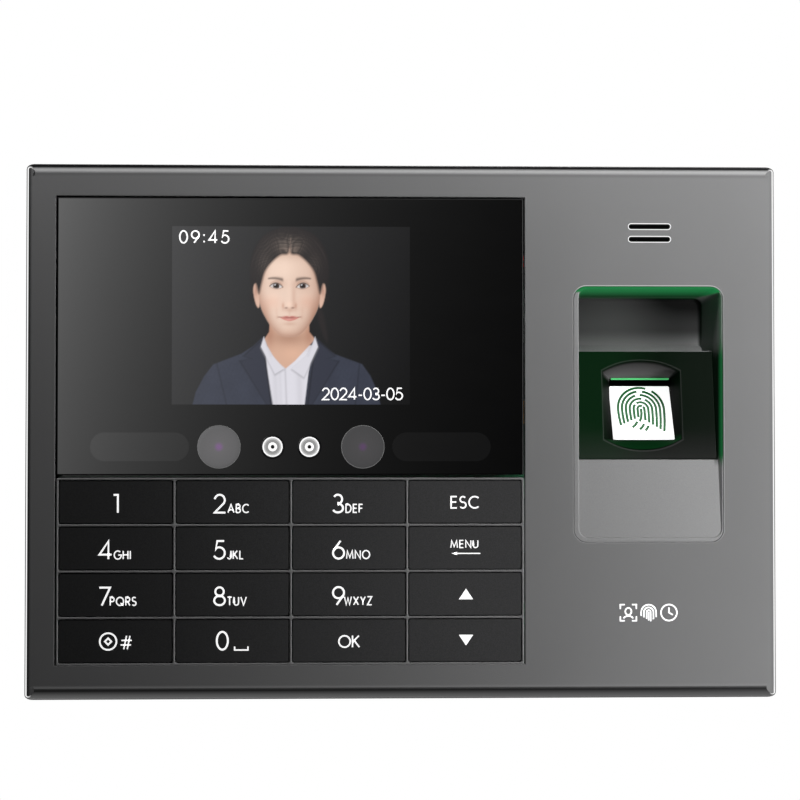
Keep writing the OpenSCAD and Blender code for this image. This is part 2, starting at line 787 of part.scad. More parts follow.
module sensor_bezel() {
    gap = 0.15;
    x0 = well_x - well_w / 2 + 0.3 + gap;
    x1 = well_x + well_w / 2 - 0.3 - gap;
    y_back = front_y + well_back;
    // direction of the hood's slope, from the face towards the glass
    hood_slope = atan2(hood_z - hood_back[1], hood_back[0] - hood_deep);
    color([0.05, 0.07, 0.05]) difference() {
        intersection() {
            along_x(x0, x1) polygon([
                deep([face_low[0], face_low[1] + gap]), deep([face_top[0], face_top[1] + 0.15]),
                deep([well_back, face_top[1] + 0.15]), deep([well_back, face_low[1] + gap])]);
            union() {
                well_hollow();
                block(x0, x1, front_y + well_d - 1, y_back + 1, face_low[1], face_top[1] + 1);
            }
        }
        // the well in front of the platen
        along_x(scoop_x - scoop_w / 2, scoop_x + scoop_w / 2) polygon([
            deep([cut_from, hood_z]), deep([hood_deep, hood_z]), deep(hood_back),
            deep(platen_high + [1.2, 0.9]), deep(platen_high), deep(platen_low),
            deep([6.2, platen_low[1] - 0.7]), deep([cut_from, platen_low[1] - 0.7])]);
        // the hood's arch, and the scoop under the platen
        intersection() {
            translate([scoop_x, front_y + hood_deep, hood_z + hood_rise - hood_r])
                rotate([-90 - hood_slope, 0, 0]) translate([0, 0, -6])
                    cylinder(r = hood_r, h = 11.4, $fn = 96);
            block(scoop_x - scoop_w / 2, scoop_x + scoop_w / 2, front_y, front_y + hood_back[0],
                  hood_z - 3, hood_z + 4);
        }
        intersection() {
            along_x(scoop_x - scoop_w / 2, scoop_x + scoop_w / 2) polygon([
                deep([cut_from, scoop_z - scoop_drop]), deep([scoop_deep, scoop_z - scoop_drop]),
                deep([platen_low[0] + 0.4, platen_low[1]]), deep([cut_from, platen_low[1]])]);
            rod_y(scoop_x, scoop_z - scoop_drop + scoop_r, 2 * scoop_r, front_y, front_y + 9);
        }
        // seat of the platen and the light path behind it
        platen_slab(0.1);
        along_x(platen_x - 6.5, platen_x + 6.5) polygon([
            deep(platen_high + platen_in + [-1, -2]), deep([well_back + 1, 9]),
            deep([well_back + 1, 0]), deep(platen_low + platen_in + [0, 1])]);
    }
}

// the tilted glass slab, grown by g at its sides
module platen_slab(g) {
    along_x(platen_x - platen_w / 2 - g, platen_x + platen_w / 2 + g) polygon([
        deep(platen_low), deep(platen_high), deep(platen_high + platen_in),
        deep(platen_low + platen_in)]);
}

module sensor_glass() {
    color([0.9, 1, 0.92]) platen_slab(0);
}

module sensor_board() {
    y0 = front_y + well_back;
    color([0.1, 0.3, 0.16])
        block(platen_x - 15, platen_x + 15, y0, y0 + 1.2, face_low[1] + 1, face_top[1] - 1);
}

module sensor_camera() {
    y0 = front_y + well_back;
    color([0.12, 0.12, 0.13]) {
        block(platen_x - 4, platen_x + 4, y0 - 1.6, y0, 0.8, 8.2);
        difference() {
            rod_y(platen_x, 4.5, 5.6, y0 - 3.4, y0 - 1.5);
            rod_y(platen_x, 4.5, 2.4, y0 - 4, y0 - 2.6);
        }
    }
}

module sensor_leds() {
    y0 = front_y + well_back;
    color([0.6, 1, 0.7]) for (s = [-1, 1])
        block(platen_x + s * 5.2 - 0.8, platen_x + s * 5.2 + 0.8, y0 - 0.8, y0, 3.5, 5.5);
}

module sensor_ribbon() {
    y0 = front_y + well_back + 1.2;
    color([0.72, 0.45, 0.15]) block(26, platen_x - 4, y0, y0 + 0.3, 2, 8);
}

// ---- main board ----------------------------------------------------------

module main_board() {
    color([0.1, 0.3, 0.16]) difference() {
        union() {
            block(main_board[0], main_board[2], main_board_y, main_board_y + board_t,
                  main_board[1], main_board[3]);
            // arm along the bottom that carries the connectors
            block(main_board[2] - 1, usb_x + 9, main_board_y, main_board_y + board_t, -62, -44);
            block(12, main_board[2], main_board_y, main_board_y + board_t, -62, main_board[1] + 1);
        }
        for (p = standoffs)
            rod_y(p[0], p[1], board_screw_d + 0.3, main_board_y - 1, main_board_y + 3);
    }
}

module board_chips() {
    color([0.08, 0.08, 0.09]) {
        for (c = CHIPS) block(c[0], c[1], main_board_y - c[4], main_board_y, c[2], c[3]);
        for (p = capacitors) rod_y(p[0], p[1], 4, main_board_y - 5, main_board_y);
    }
}

module board_screw(x, y, z, dir) {
    translate([x, y, z]) rotate([-90 * dir, 0, 0]) {
        cylinder(d = 3.6, h = 1.2);
        translate([0, 0, -board_screw_l]) cylinder(d = board_screw_d - 0.4, h = board_screw_l + 0.5);
    }
}

module board_screws() {
    color("silver") {
        for (x = tab_x) board_screw(x, keypad_board_y + board_t, tab_z, 1);
        for (x = ear_x) board_screw(x, keypad_board_y + board_t, ear_z, 1);
        for (p = standoffs) board_screw(p[0], main_board_y, p[1], -1);
    }
}

module cell_holder() {
    color([0.15, 0.15, 0.16]) difference() {
        rod_y(cell_at[0], cell_at[1], cell_d + 4, main_board_y - 4.4, main_board_y);
        rod_y(cell_at[0], cell_at[1], cell_d + 0.4, main_board_y - 5, main_board_y - 1.2);
    }
}

module clock_cell() {
    color("silver") rod_y(cell_at[0], cell_at[1], cell_d, main_board_y - 4.4, main_board_y - 1.2);
}

module dc_jack() {
    color([0.12, 0.12, 0.13]) difference() {
        union() {
            block(jack_x - 4.5, jack_x + 4.5, jack_y - 4.6, main_board_y, -62.3, -50);
            translate([jack_x, jack_y, -64.4]) cylinder(r = jack_r + 0.5, h = 3);
        }
        translate([jack_x, jack_y, -65]) cylinder(r = jack_r, h = 10);
    }
    color("silver") translate([jack_x, jack_y, -64]) cylinder(r = 1, h = 10);
}

module usb_port() {
    color("silver") translate([usb_x, usb_y, -64.2]) difference() {
        translate([-usb_shell[0] / 2, -usb_shell[1] / 2, 0]) cube(usb_shell);
        translate([-usb_mouth[0] / 2, -usb_mouth[1] / 2, -1]) cube([usb_mouth[0], usb_mouth[1], 13]);
    }
    color("white") translate([usb_x, usb_y, -64.2])
        translate([-5.6, -0.2, 1.2]) cube([11.2, 1.9, 12]);
    // feet that stand it on the board
    color("silver") for (s = [-1, 1])
        block(usb_x + s * 6.3 - 0.25, usb_x + s * 6.3 + 0.25, usb_y, main_board_y, -60, -54);
}

// ---- drawing -------------------------------------------------------------

wall_plate();
plate_lock_screw();
front_casing();
rear_shell();
casing_screws();
finger_well();
display_lens();
display_gasket();
display_panel();
display_ribbon();
face_board();
camera_module_left();
camera_module_right();
lamp_left();
lamp_right();
ir_led_bar_left();
ir_led_bar_right();
key_lattice();
keypad_mat();
snap_domes();
keypad_board();
keypad_ribbon();
speaker_gasket();
speaker();
speaker_lead();
sensor_bezel();
sensor_glass();
sensor_leds();
sensor_camera();
sensor_board();
sensor_ribbon();
main_board();
board_chips();
board_screws();
cell_holder();
clock_cell();
dc_jack();
usb_port();
rating_label();
for (i = [0 : len(KEYS) - 1])
    key(i);
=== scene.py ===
import math

import bmesh
import bpy
import numpy as np
from mathutils import Matrix, Vector, noise

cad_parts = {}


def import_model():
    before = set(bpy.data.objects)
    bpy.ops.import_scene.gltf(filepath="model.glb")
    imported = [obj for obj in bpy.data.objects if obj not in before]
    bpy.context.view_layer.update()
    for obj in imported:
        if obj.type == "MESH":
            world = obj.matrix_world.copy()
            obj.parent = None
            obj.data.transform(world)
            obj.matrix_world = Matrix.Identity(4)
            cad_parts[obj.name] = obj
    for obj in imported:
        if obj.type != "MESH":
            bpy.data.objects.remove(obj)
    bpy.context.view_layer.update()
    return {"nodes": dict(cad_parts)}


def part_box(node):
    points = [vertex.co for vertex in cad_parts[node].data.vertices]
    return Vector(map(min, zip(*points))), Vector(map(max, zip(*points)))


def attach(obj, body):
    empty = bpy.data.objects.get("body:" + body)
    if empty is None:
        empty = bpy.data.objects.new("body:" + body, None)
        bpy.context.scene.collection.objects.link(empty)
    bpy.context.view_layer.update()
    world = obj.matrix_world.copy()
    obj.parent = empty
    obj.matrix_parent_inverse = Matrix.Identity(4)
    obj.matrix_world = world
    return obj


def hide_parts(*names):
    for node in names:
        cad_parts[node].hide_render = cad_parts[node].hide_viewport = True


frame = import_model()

MM = 0.001
TERMINAL = "terminal"

# ---------------------------------------------------------------------------
# Places and sizes, in millimetres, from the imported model
# ---------------------------------------------------------------------------


def node_box(name):
    """Lowest and highest corner of a CAD node, in millimetres."""
    low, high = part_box(name)
    return low / MM, high / MM


case_lo, case_hi = node_box("front_casing")
FRONT_Y = case_lo.y
SEAM_Y = case_hi.y
HALF_W = case_hi.x
HALF_H = case_hi.z
WALL = 2.4
WALL_BACK_Y = FRONT_Y + WALL
lens_lo, lens_hi = node_box("display_lens")
LENS_Y = lens_lo.y
LENS_X = (lens_lo.x + lens_hi.x) / 2
lattice_lo, lattice_hi = node_box("key_lattice")
panel_lo, panel_hi = node_box("display_panel")
well_lo, well_hi = node_box("finger_well")
bezel_lo, bezel_hi = node_box("sensor_bezel")
glass_lo, glass_hi = node_box("sensor_glass")

OPEN_GAP = 0.35
OPEN_LEFT = lens_lo.x - OPEN_GAP
OPEN_RIGHT = lens_hi.x + OPEN_GAP
OPEN_HIGH = lens_hi.z + OPEN_GAP
SCREEN_W, SCREEN_H = 57.6, 43.2
SCREEN_Z = (panel_lo.z + panel_hi.z) / 2 + 1.2
lamp_lo, lamp_hi = node_box("lamp_left")
OPTICS_Z = (lamp_lo.z + lamp_hi.z) / 2

KEYS = ["key_1", "key_2", "key_3", "key_esc", "key_4", "key_5", "key_6", "key_menu",
        "key_7", "key_8", "key_9", "key_up", "key_power_hash", "key_0", "key_ok", "key_down"]
RIB_W = 0.5
KEY_PITCH_X = node_box("key_2")[0].x - node_box("key_1")[0].x
KEY_PITCH_Z = node_box("key_1")[0].z - node_box("key_4")[0].z
key_lo, key_hi = node_box("key_1")
KEY_W, KEY_H = key_hi.x - key_lo.x, key_hi.z - key_lo.z
LATTICE_W = 4 * KEY_PITCH_X + RIB_W
LATTICE_H = 4 * KEY_PITCH_Z + RIB_W
LATTICE_TOP = key_hi.z + RIB_W + (KEY_PITCH_Z - RIB_W - KEY_H) / 2
OPEN_LOW = LATTICE_TOP - LATTICE_H - 0.02


# ---------------------------------------------------------------------------
# Node helpers for materials
# ---------------------------------------------------------------------------


class Nodes:
    """A material's node tree, with one short method for each node used."""

    def __init__(self, name):
        self.material = bpy.data.materials.new(name)
        self.material.use_nodes = True
        self.tree = self.material.node_tree
        self.shader = next(n for n in self.tree.nodes if n.type == "BSDF_PRINCIPLED")
        coord = self.tree.nodes.new("ShaderNodeTexCoord")
        self.place = coord.outputs["Object"]

    def set(self, **values):
        for key, value in values.items():
            self.shader.inputs[key.replace("_", " ")].default_value = value

    def link(self, source, target):
        if isinstance(target, str):
            target = self.shader.inputs[target]
        self.tree.links.new(source, target)

    def noise(self, scale, detail=3, roughness=0.5, stretch=None):
        node = self.tree.nodes.new("ShaderNodeTexNoise")
        node.inputs["Scale"].default_value = scale
        node.inputs["Detail"].default_value = detail
        node.inputs["Roughness"].default_value = roughness
        place = self.place
        if stretch:
            mapping = self.tree.nodes.new("ShaderNodeMapping")
            mapping.inputs["Scale"].default_value = stretch
            self.link(place, mapping.inputs["Vector"])
            place = mapping.outputs["Vector"]
        self.link(place, node.inputs["Vector"])
        return node.outputs["Fac"]

    def ramp(self, source, low, high, color_a, color_b):
        """Colour a below low, colour b above high."""
        node = self.tree.nodes.new("ShaderNodeMix")
        node.data_type = "RGBA"
        self.link(self.spread(source, low, high, 0, 1), node.inputs[0])
        node.inputs[6].default_value = (*color_a, 1)
        node.inputs[7].default_value = (*color_b, 1)
        return node.outputs[2]

    def mix(self, factor, a, b):
        """Mixes two colours; each is a socket or three numbers."""
        node = self.tree.nodes.new("ShaderNodeMix")
        node.data_type = "RGBA"
        self.link(factor, node.inputs[0])
        for value, socket in ((a, node.inputs[6]), (b, node.inputs[7])):
            if isinstance(value, tuple):
                socket.default_value = (*value, 1)
            else:
                self.link(value, socket)
        return node.outputs[2]

    def spread(self, source, low, high, to_low, to_high, smooth=False):
        node = self.tree.nodes.new("ShaderNodeMapRange")
        node.interpolation_type = "SMOOTHSTEP" if smooth else "LINEAR"
        self.link(source, node.inputs["Value"])
        for key, value in zip(("From Min", "From Max", "To Min", "To Max"), (low, high, to_low, to_high)):
            node.inputs[key].default_value = value
        return node.outputs["Result"]

    def math(self, kind, a, b=None):
        node = self.tree.nodes.new("ShaderNodeMath")
        node.operation = kind
        for value, socket in ((a, node.inputs[0]), (b, node.inputs[1])):
            if value is None:
                continue
            if isinstance(value, (int, float)):
                socket.default_value = value
            else:
                self.link(value, socket)
        return node.outputs[0]

    def axis(self, name):
        node = self.tree.nodes.new("ShaderNodeSeparateXYZ")
        self.link(self.place, node.inputs[0])
        return node.outputs[name]

    def attribute(self, name, output="Color"):
        node = self.tree.nodes.new("ShaderNodeAttribute")
        node.attribute_name = name
        return node.outputs[output]

    def bump(self, height, strength, distance):
        node = self.tree.nodes.new("ShaderNodeBump")
        node.inputs["Strength"].default_value = strength
        node.inputs["Distance"].default_value = distance
        self.link(height, node.inputs["Height"])
        self.link(node.outputs["Normal"], "Normal")


def grained(name, color, roughness, metallic=0.0, grain=9000, contrast=0.12, bump=0.15, coat=0.0,
            specular=0.5, dark=None, thin=None):
    """Paint or moulded plastic: fine grain, slow tone changes, faint handling marks.

    dark is the colour where the mesh's "dark" attribute says so: unpainted plastic where the paint has
    ended, and painted shade in bands along the rounded edge; where its "shine" attribute is above 0,
    the edge glows faintly white, a painted highlight.
    thin darkens the colour towards both ends, a painted shade: (x0, x1, share) on the left, then on the
    right."""
    m = Nodes(name)
    fine = m.noise(grain, 2, 0.6)
    slow = m.noise(38, 3, 0.5)
    low = tuple(c * (1 - contrast) for c in color)
    high = tuple(min(1, c * (1 + contrast)) for c in color)
    tone = m.ramp(fine, 0.35, 0.65, low, high)
    worn = tuple(min(1, c * 1.07) for c in color)
    paint = m.mix(m.spread(slow, 0.45, 0.75, 0, 0.35), tone, worn)
    # darker towards the left and right ends: painted shade
    if thin:
        (x0, x1, left), (x2, x3, right) = thin
        ends = m.math("ADD", m.spread(m.axis("X"), x0, x1, left, 0, True),
                      m.spread(m.axis("X"), x2, x3, 0, right, True))
        paint = m.mix(ends, paint, (0, 0, 0))
    # the dark colour is unpainted plastic and painted shade along the edge; the white glow is a painted
    # highlight
    if dark:
        paint = m.mix(m.attribute("dark", "Fac"), paint, dark)
        m.link(m.mix(m.attribute("shine", "Fac"), (0, 0, 0), (1, 1, 1)), "Emission Color")
        m.set(Emission_Strength=1.0)
    m.link(paint, "Base Color")
    rough = m.math("ADD", m.spread(fine, 0.3, 0.7, roughness - 0.03, roughness + 0.03),
                   m.spread(slow, 0.3, 0.7, -0.03, 0.03))
    m.link(rough, "Roughness")
    m.set(Metallic=metallic, Coat_Weight=coat, Coat_Roughness=0.12, Specular_IOR_Level=specular)
    m.bump(fine, bump, 0.00004)
    return m.material


def polished(name, color, roughness=0.03, specular=0.5, glow=0.0):
    """Polished acrylic or glass in front of a dark print: smudges and fine dust in the gloss."""
    m = Nodes(name)
    smudge = m.noise(60, 4, 0.6, (1, 1, 2.2))
    dust = m.noise(5200, 1, 0.5)
    speck = m.spread(dust, 0.74, 0.8, 0, 1)
    tint = tuple(c * 1.6 + 0.001 for c in color)
    m.link(m.mix(m.spread(smudge, 0.4, 0.8, 0, 0.7), color, tint), "Base Color")
    rough = m.math("ADD", m.spread(smudge, 0.45, 0.8, roughness, roughness + 0.035),
                   m.math("MULTIPLY", speck, 0.05))
    m.link(rough, "Roughness")
    m.set(Specular_IOR_Level=specular)
    # glow: a faint even glow of its own, painted light
    if glow:
        m.set(Emission_Color=(1, 1, 1, 1), Emission_Strength=glow)
    m.bump(smudge, 0.02, 0.0001)
    return m.material


def brushed(name, color, roughness=0.32, along=(1, 1, 26)):
    """Bare or plated sheet metal with a drawn grain."""
    m = Nodes(name)
    lines = m.noise(900, 4, 0.65, along)
    blotch = m.noise(90, 3, 0.5)
    dark = tuple(c * 0.82 for c in color)
    m.link(m.mix(m.spread(blotch, 0.35, 0.7, 0, 0.4),
                 m.ramp(lines, 0.3, 0.7, dark, color), tuple(c * 0.9 for c in color)), "Base Color")
    m.link(m.spread(lines, 0.3, 0.7, roughness - 0.06, roughness + 0.08), "Roughness")
    m.set(Metallic=1.0)
    m.bump(lines, 0.12, 0.00003)
    return m.material


def glowing(name, color, strength, grain=3000):
    """A lit part, or print given a glow of its own as painted light: an even glow with a slight mottle."""
    m = Nodes(name)
    mottle = m.noise(grain, 2, 0.5)
    low = tuple(c * 0.94 for c in color)
    shade = m.ramp(mottle, 0.3, 0.7, low, color)
    m.link(shade, "Base Color")
    m.link(shade, "Emission Color")
    m.set(Emission_Strength=strength, Roughness=0.4)
    return m.material


def lamp_glass(name, glow):
    """Grey translucent lamp cover, with a faint violet glow at its middle; the grey of the whole cover is
    also given off as a glow, painted light, a little paler towards its middle.
    """
    m = Nodes(name)
    r = m.attribute("radius", "Fac")
    body = m.ramp(r, 0.05, 0.95, (0.125, 0.12, 0.125), (0.1, 0.099, 0.101))
    violet = m.mix(m.spread(r, 0.04, 0.27, 1, 0, True), body, (0.19, 0.1, 0.235))
    grain = m.noise(4200, 2, 0.5)
    shade = m.mix(m.spread(grain, 0.3, 0.7, 0, 0.1), violet, (0.16, 0.16, 0.16))
    surface = m.mix(m.spread(grain, 0.3, 0.7, 0.2, 0.6), (0.012, 0.012, 0.013), (0.03, 0.029, 0.031))
    m.link(surface, "Base Color")
    m.link(shade, "Emission Color")
    m.set(Emission_Strength=glow, Roughness=0.16)
    m.bump(grain, 0.05, 0.00005)
    return m.material


def camera_band():
    """Frosted band round a camera's barrel: pale outside, mid-grey inside, with a darker line; its colour
    is also given off as a glow, painted light.
    """
    m = Nodes("camera_band")
    r = m.attribute("radius", "Fac")
    body = m.ramp(r, 0.52, 0.98, (0.17, 0.17, 0.17), (0.5, 0.5, 0.5))
    line = m.math("MULTIPLY", m.spread(r, 0.68, 0.74, 0, 1, True), m.spread(r, 0.76, 0.82, 1, 0, True))
    shade = m.mix(m.math("MULTIPLY", line, 0.55), body, (0.12, 0.12, 0.12))
    grain = m.noise(5200, 2, 0.5)
    frosted = m.mix(m.spread(grain, 0.3, 0.7, 0, 0.12), shade, (0.3, 0.3, 0.3))
    m.link(frosted, "Base Color")
    m.link(frosted, "Emission Color")
    m.set(Emission_Strength=0.8, Roughness=0.4)
    return m.material


def screen_material():
    """The lit picture behind polished glass. The picture is a colour on the mesh."""
    m = Nodes("screen_lit")
    picture = m.attribute("picture")
    m.set(Emission_Strength=1.0, Roughness=0.05)
    dust = m.noise(5200, 1, 0.5)
    lit = m.mix(m.spread(dust, 0.3, 0.7, 0.0, 0.03), picture, (0.03, 0.03, 0.03))
    m.link(lit, "Emission Color")
    surface = m.mix(m.spread(dust, 0.3, 0.7, 0, 1), (0.004, 0.004, 0.0045), (0.007, 0.007, 0.008))
    m.link(surface, "Base Color")
    return m.material


def well_paint():
    """Silver-grey paint of the finger well, with painted shade by place on the roof, the right wall and the
    back, and a painted green glow of the scanner's light on the roof and the right wall.
    """
    m = Nodes("well_silver")
    fine = m.noise(8000, 2, 0.6)
    slow = m.noise(60, 3, 0.5)
    tone = m.ramp(fine, 0.35, 0.65, (0.296, 0.296, 0.298), (0.352, 0.352, 0.355))
    silver = m.mix(m.spread(slow, 0.45, 0.75, 0, 0.3), tone, (0.33, 0.33, 0.33))
    m.link(m.spread(fine, 0.3, 0.7, 0.42, 0.5), "Roughness")
    m.set(Specular_IOR_Level=0.08)
    x, y, z = m.axis("X"), m.axis("Y"), m.axis("Z")
    front = FRONT_Y * MM
    is_roof = m.spread(z, WELL_TOP - 0.0012, WELL_TOP - 0.0007, 0, 1, True)
    is_side = m.spread(x, WELL_RIGHT - 0.0013, WELL_RIGHT - 0.0008, 0, 1, True)
    is_back = m.spread(y, front + 0.0165, front + 0.0195, 0, 1, True)
    scanner_height = m.math("MULTIPLY", m.spread(z, 0.0175, 0.0235, 1, 0.45, True),
                            m.spread(z, -0.009, -0.0055, 0, 1, True))
    beside_scanner = m.math("MULTIPLY", is_side, scanner_height)
    # painted shade: near black on the roof and on the right wall beside the scanner; the back wall darker
    # upwards and to the right
    shade = m.math("MAXIMUM", m.math("MULTIPLY", is_roof, 0.97), m.math("MULTIPLY", beside_scanner, 0.985))
    back = m.math("ADD", m.spread(z, 0.0205, 0.0262, 0.12, 0.68, True),
                  m.spread(z, 0.0262, 0.034, 0, 0.12, True))
    back = m.math("ADD", back, m.spread(x, 0.05, 0.072, 0, 0.23, True))
    shade = m.math("MAXIMUM", shade, m.math("MULTIPLY", is_back, back))
    m.link(m.mix(shade, silver, (0.003, 0.003, 0.003)), "Base Color")
    # painted green glow of the scanner's light on the roof and the right wall, fading deeper into the well
    roof = m.math("MULTIPLY", is_roof, m.spread(y, front + 0.0005, front + 0.016, 1.0, 0.15))
    wall = m.math("MULTIPLY", beside_scanner, m.spread(y, front + 0.0006, front + 0.0034, 0.42, 0.01))
    green = m.mix(m.math("MAXIMUM", roof, wall), (0, 0, 0), (0.0085, 0.19, 0.05))
    m.link(green, "Emission Color")
    m.set(Emission_Strength=1.0)
    m.bump(fine, 0.12, 0.00004)
    return m.material


def sensor_plastic():
    """Black plastic of the scanner. The mesh's "light" says where it is pale (painted light), green-lit (a
    painted glow) or unlit (painted shade).
    """
    m = Nodes("sensor_plastic")
    fine = m.noise(5000, 2, 0.6)
    split = m.tree.nodes.new("ShaderNodeSeparateColor")
    m.link(m.attribute("light"), split.inputs[0])
    hood, green, hidden = split.outputs
    black = m.ramp(fine, 0.35, 0.65, (0.003, 0.0034, 0.003), (0.0044, 0.005, 0.0044))
    pale = m.mix(hood, black, (0.26, 0.25, 0.255))
    m.link(m.mix(hidden, pale, (0.0012, 0.0016, 0.0012)), "Base Color")
    m.link(m.mix(green, (0, 0, 0), (0.0012, 0.05, 0.0095)), "Emission Color")
    m.link(m.spread(fine, 0.3, 0.7, 0.47, 0.54), "Roughness")
    m.set(Specular_IOR_Level=0.01, Emission_Strength=1.0)
    m.bump(fine, 0.12, 0.00004)
    return m.material


# ---------------------------------------------------------------------------
# Mesh helpers
# ---------------------------------------------------------------------------


def add_piece(name, mesh, body, material, smooth_angle=32):
    """Puts a finished mesh, in millimetres, into the scene as a piece that rides on a body."""
    mesh.transform(Matrix.Scale(MM, 4))
    mesh.materials.append(material)
    mesh.polygons.foreach_set("use_smooth", [True] * len(mesh.polygons))
    mesh.set_sharp_from_angle(angle=math.radians(smooth_angle))
    mesh.update()
    piece = bpy.data.objects.new(name, mesh)
    bpy.context.scene.collection.objects.link(piece)
    flat = piece.modifiers.new("flat_faces", "WEIGHTED_NORMAL")
    flat.mode = "FACE_AREA"
    flat.keep_sharp = True
    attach(piece, body)
    return piece


def from_bmesh(name, bm):
    bmesh.ops.recalc_face_normals(bm, faces=bm.faces)
    mesh = bpy.data.meshes.new(name)
    bm.to_mesh(mesh)
    bm.free()
    return mesh


class Outline:
    """A rectangle with round corners in the x, z plane; a circle or a pill if r is large."""

    def __init__(self, x, z, w, h, r, corner_steps=8):
        self.x, self.z, self.w, self.h = x, z, w, h
        self.r = min(r, w / 2 - 1e-4, h / 2 - 1e-4)
        self.steps = corner_steps

    def points(self, inset=0.0):
        """Points and outward normals, counterclockwise from the right-hand side."""
        r = max(self.r, 0.01)
        cx, cz = self.w / 2 - r, self.h / 2 - r
        out = []
        for turn, (sx, sz) in enumerate(((1, 1), (-1, 1), (-1, -1), (1, -1))):
            for step in range(self.steps + 1):
                a = math.pi / 2 * (turn + step / self.steps)
                n = (math.cos(a), math.sin(a))
                shrink = min(inset, r - 0.005) if inset > 0 else inset
                base_x = self.x + sx * (cx - (inset - shrink))
                base_z = self.z + sz * (cz - (inset - shrink))
                out.append((base_x + n[0] * (r - shrink), base_z + n[1] * (r - shrink), n))
        return out


def ring(bm, outline, inset, y):
    return [bm.verts.new((x, y, z)) for x, z, _ in outline.points(inset)]


def bridge(bm, ring_a, ring_b):
    n = len(ring_a)
    for i in range(n):
        j = (i + 1) % n
        bm.faces.new((ring_a[i], ring_a[j], ring_b[j], ring_b[i]))


def join(bm, rings):
    """Faces between each ring and the next."""
    for ring_a, ring_b in zip(rings, rings[1:]):
        bridge(bm, ring_a, ring_b)


def rounded_rings(bm, outline, inset, y_front, segments):
    """Rings round a front edge: a quarter turn that starts inset, or outset if inset is negative."""
    rings = []
    for k in range(segments + 1):
        a = math.pi / 2 * k / segments
        y = y_front + abs(inset) * (1 - math.cos(a))
        rings.append(ring(bm, outline, inset * (1 - math.sin(a)), y))
    return rings


def fill(bm, rings):
    """A flat cap between an outer ring and any holes."""
    if len(rings) == 1:
        bm.faces.new(rings[0])
        return
    edges = []
    for around in rings:
        for pair in zip(around, around[1:] + around[:1]):
            edges.append(bm.edges.get(pair) or bm.edges.new(pair))
    bmesh.ops.triangle_fill(bm, use_beauty=True, use_dissolve=False, edges=edges)


def slab(bm, outer, holes, y_front, y_back, bevel, hole_bevel=None, segments=3):
    """A flat plate with rounded front edges: an outer outline and hole outlines."""
    hole_bevel = bevel if hole_bevel is None else hole_bevel
    fronts, backs = [], []
    for outline, inset in [(outer, bevel)] + [(hole, -hole_bevel) for hole in holes]:
        rings = rounded_rings(bm, outline, inset, y_front, segments)
        rings.append(ring(bm, outline, 0, y_back))
        join(bm, rings)
        fronts.append(rings[0])
        backs.append(rings[-1])
    fill(bm, fronts)
    fill(bm, backs)


def plate(name, outer, holes, y_front, y_back, bevel, body, material, hole_bevel=None, segments=3):
    bm = bmesh.new()
    slab(bm, outer, holes, y_front, y_back, bevel, hole_bevel, segments)
    return add_piece(name, from_bmesh(name, bm), body, material)


def dress_node(name, material, bevel=0.0, angle=35, segments=2):
    """A CAD node that stays: a finished material and, where it shows, rounded edges."""
    node = frame["nodes"][name]
    node.data.materials.clear()
    node.data.materials.append(material)
    if bevel:
        weld = node.modifiers.new("weld", "WELD")
        weld.merge_threshold = 0.00001
        flat = node.modifiers.new("flat", "DECIMATE")
        flat.decimate_type = "DISSOLVE"
        flat.angle_limit = math.radians(0.6)
        edge = node.modifiers.new("edge", "BEVEL")
        edge.width = bevel * MM
        edge.segments = segments
        edge.limit_method = "ANGLE"
        edge.angle_limit = math.radians(angle)
        edge.harden_normals = True
        edge.use_clamp_overlap = True
    return node


# ---------------------------------------------------------------------------
# Lettering: single strokes, drawn as thin raised ribbons
# ---------------------------------------------------------------------------


def arc(cx, cy, rx, ry, start, end, steps=None):
    """Points on an ellipse from one angle to another, in degrees."""
    steps = steps or max(4, int(abs(end - start) / 12))
    return [(cx + rx * math.cos(math.radians(start + (end - start) * i / steps)),
             cy + ry * math.sin(math.radians(start + (end - start) * i / steps))) for i in range(steps + 1)]


def loop(cx, cy, rx, ry):
    return arc(cx, cy, rx, ry, 90, 450, 28)


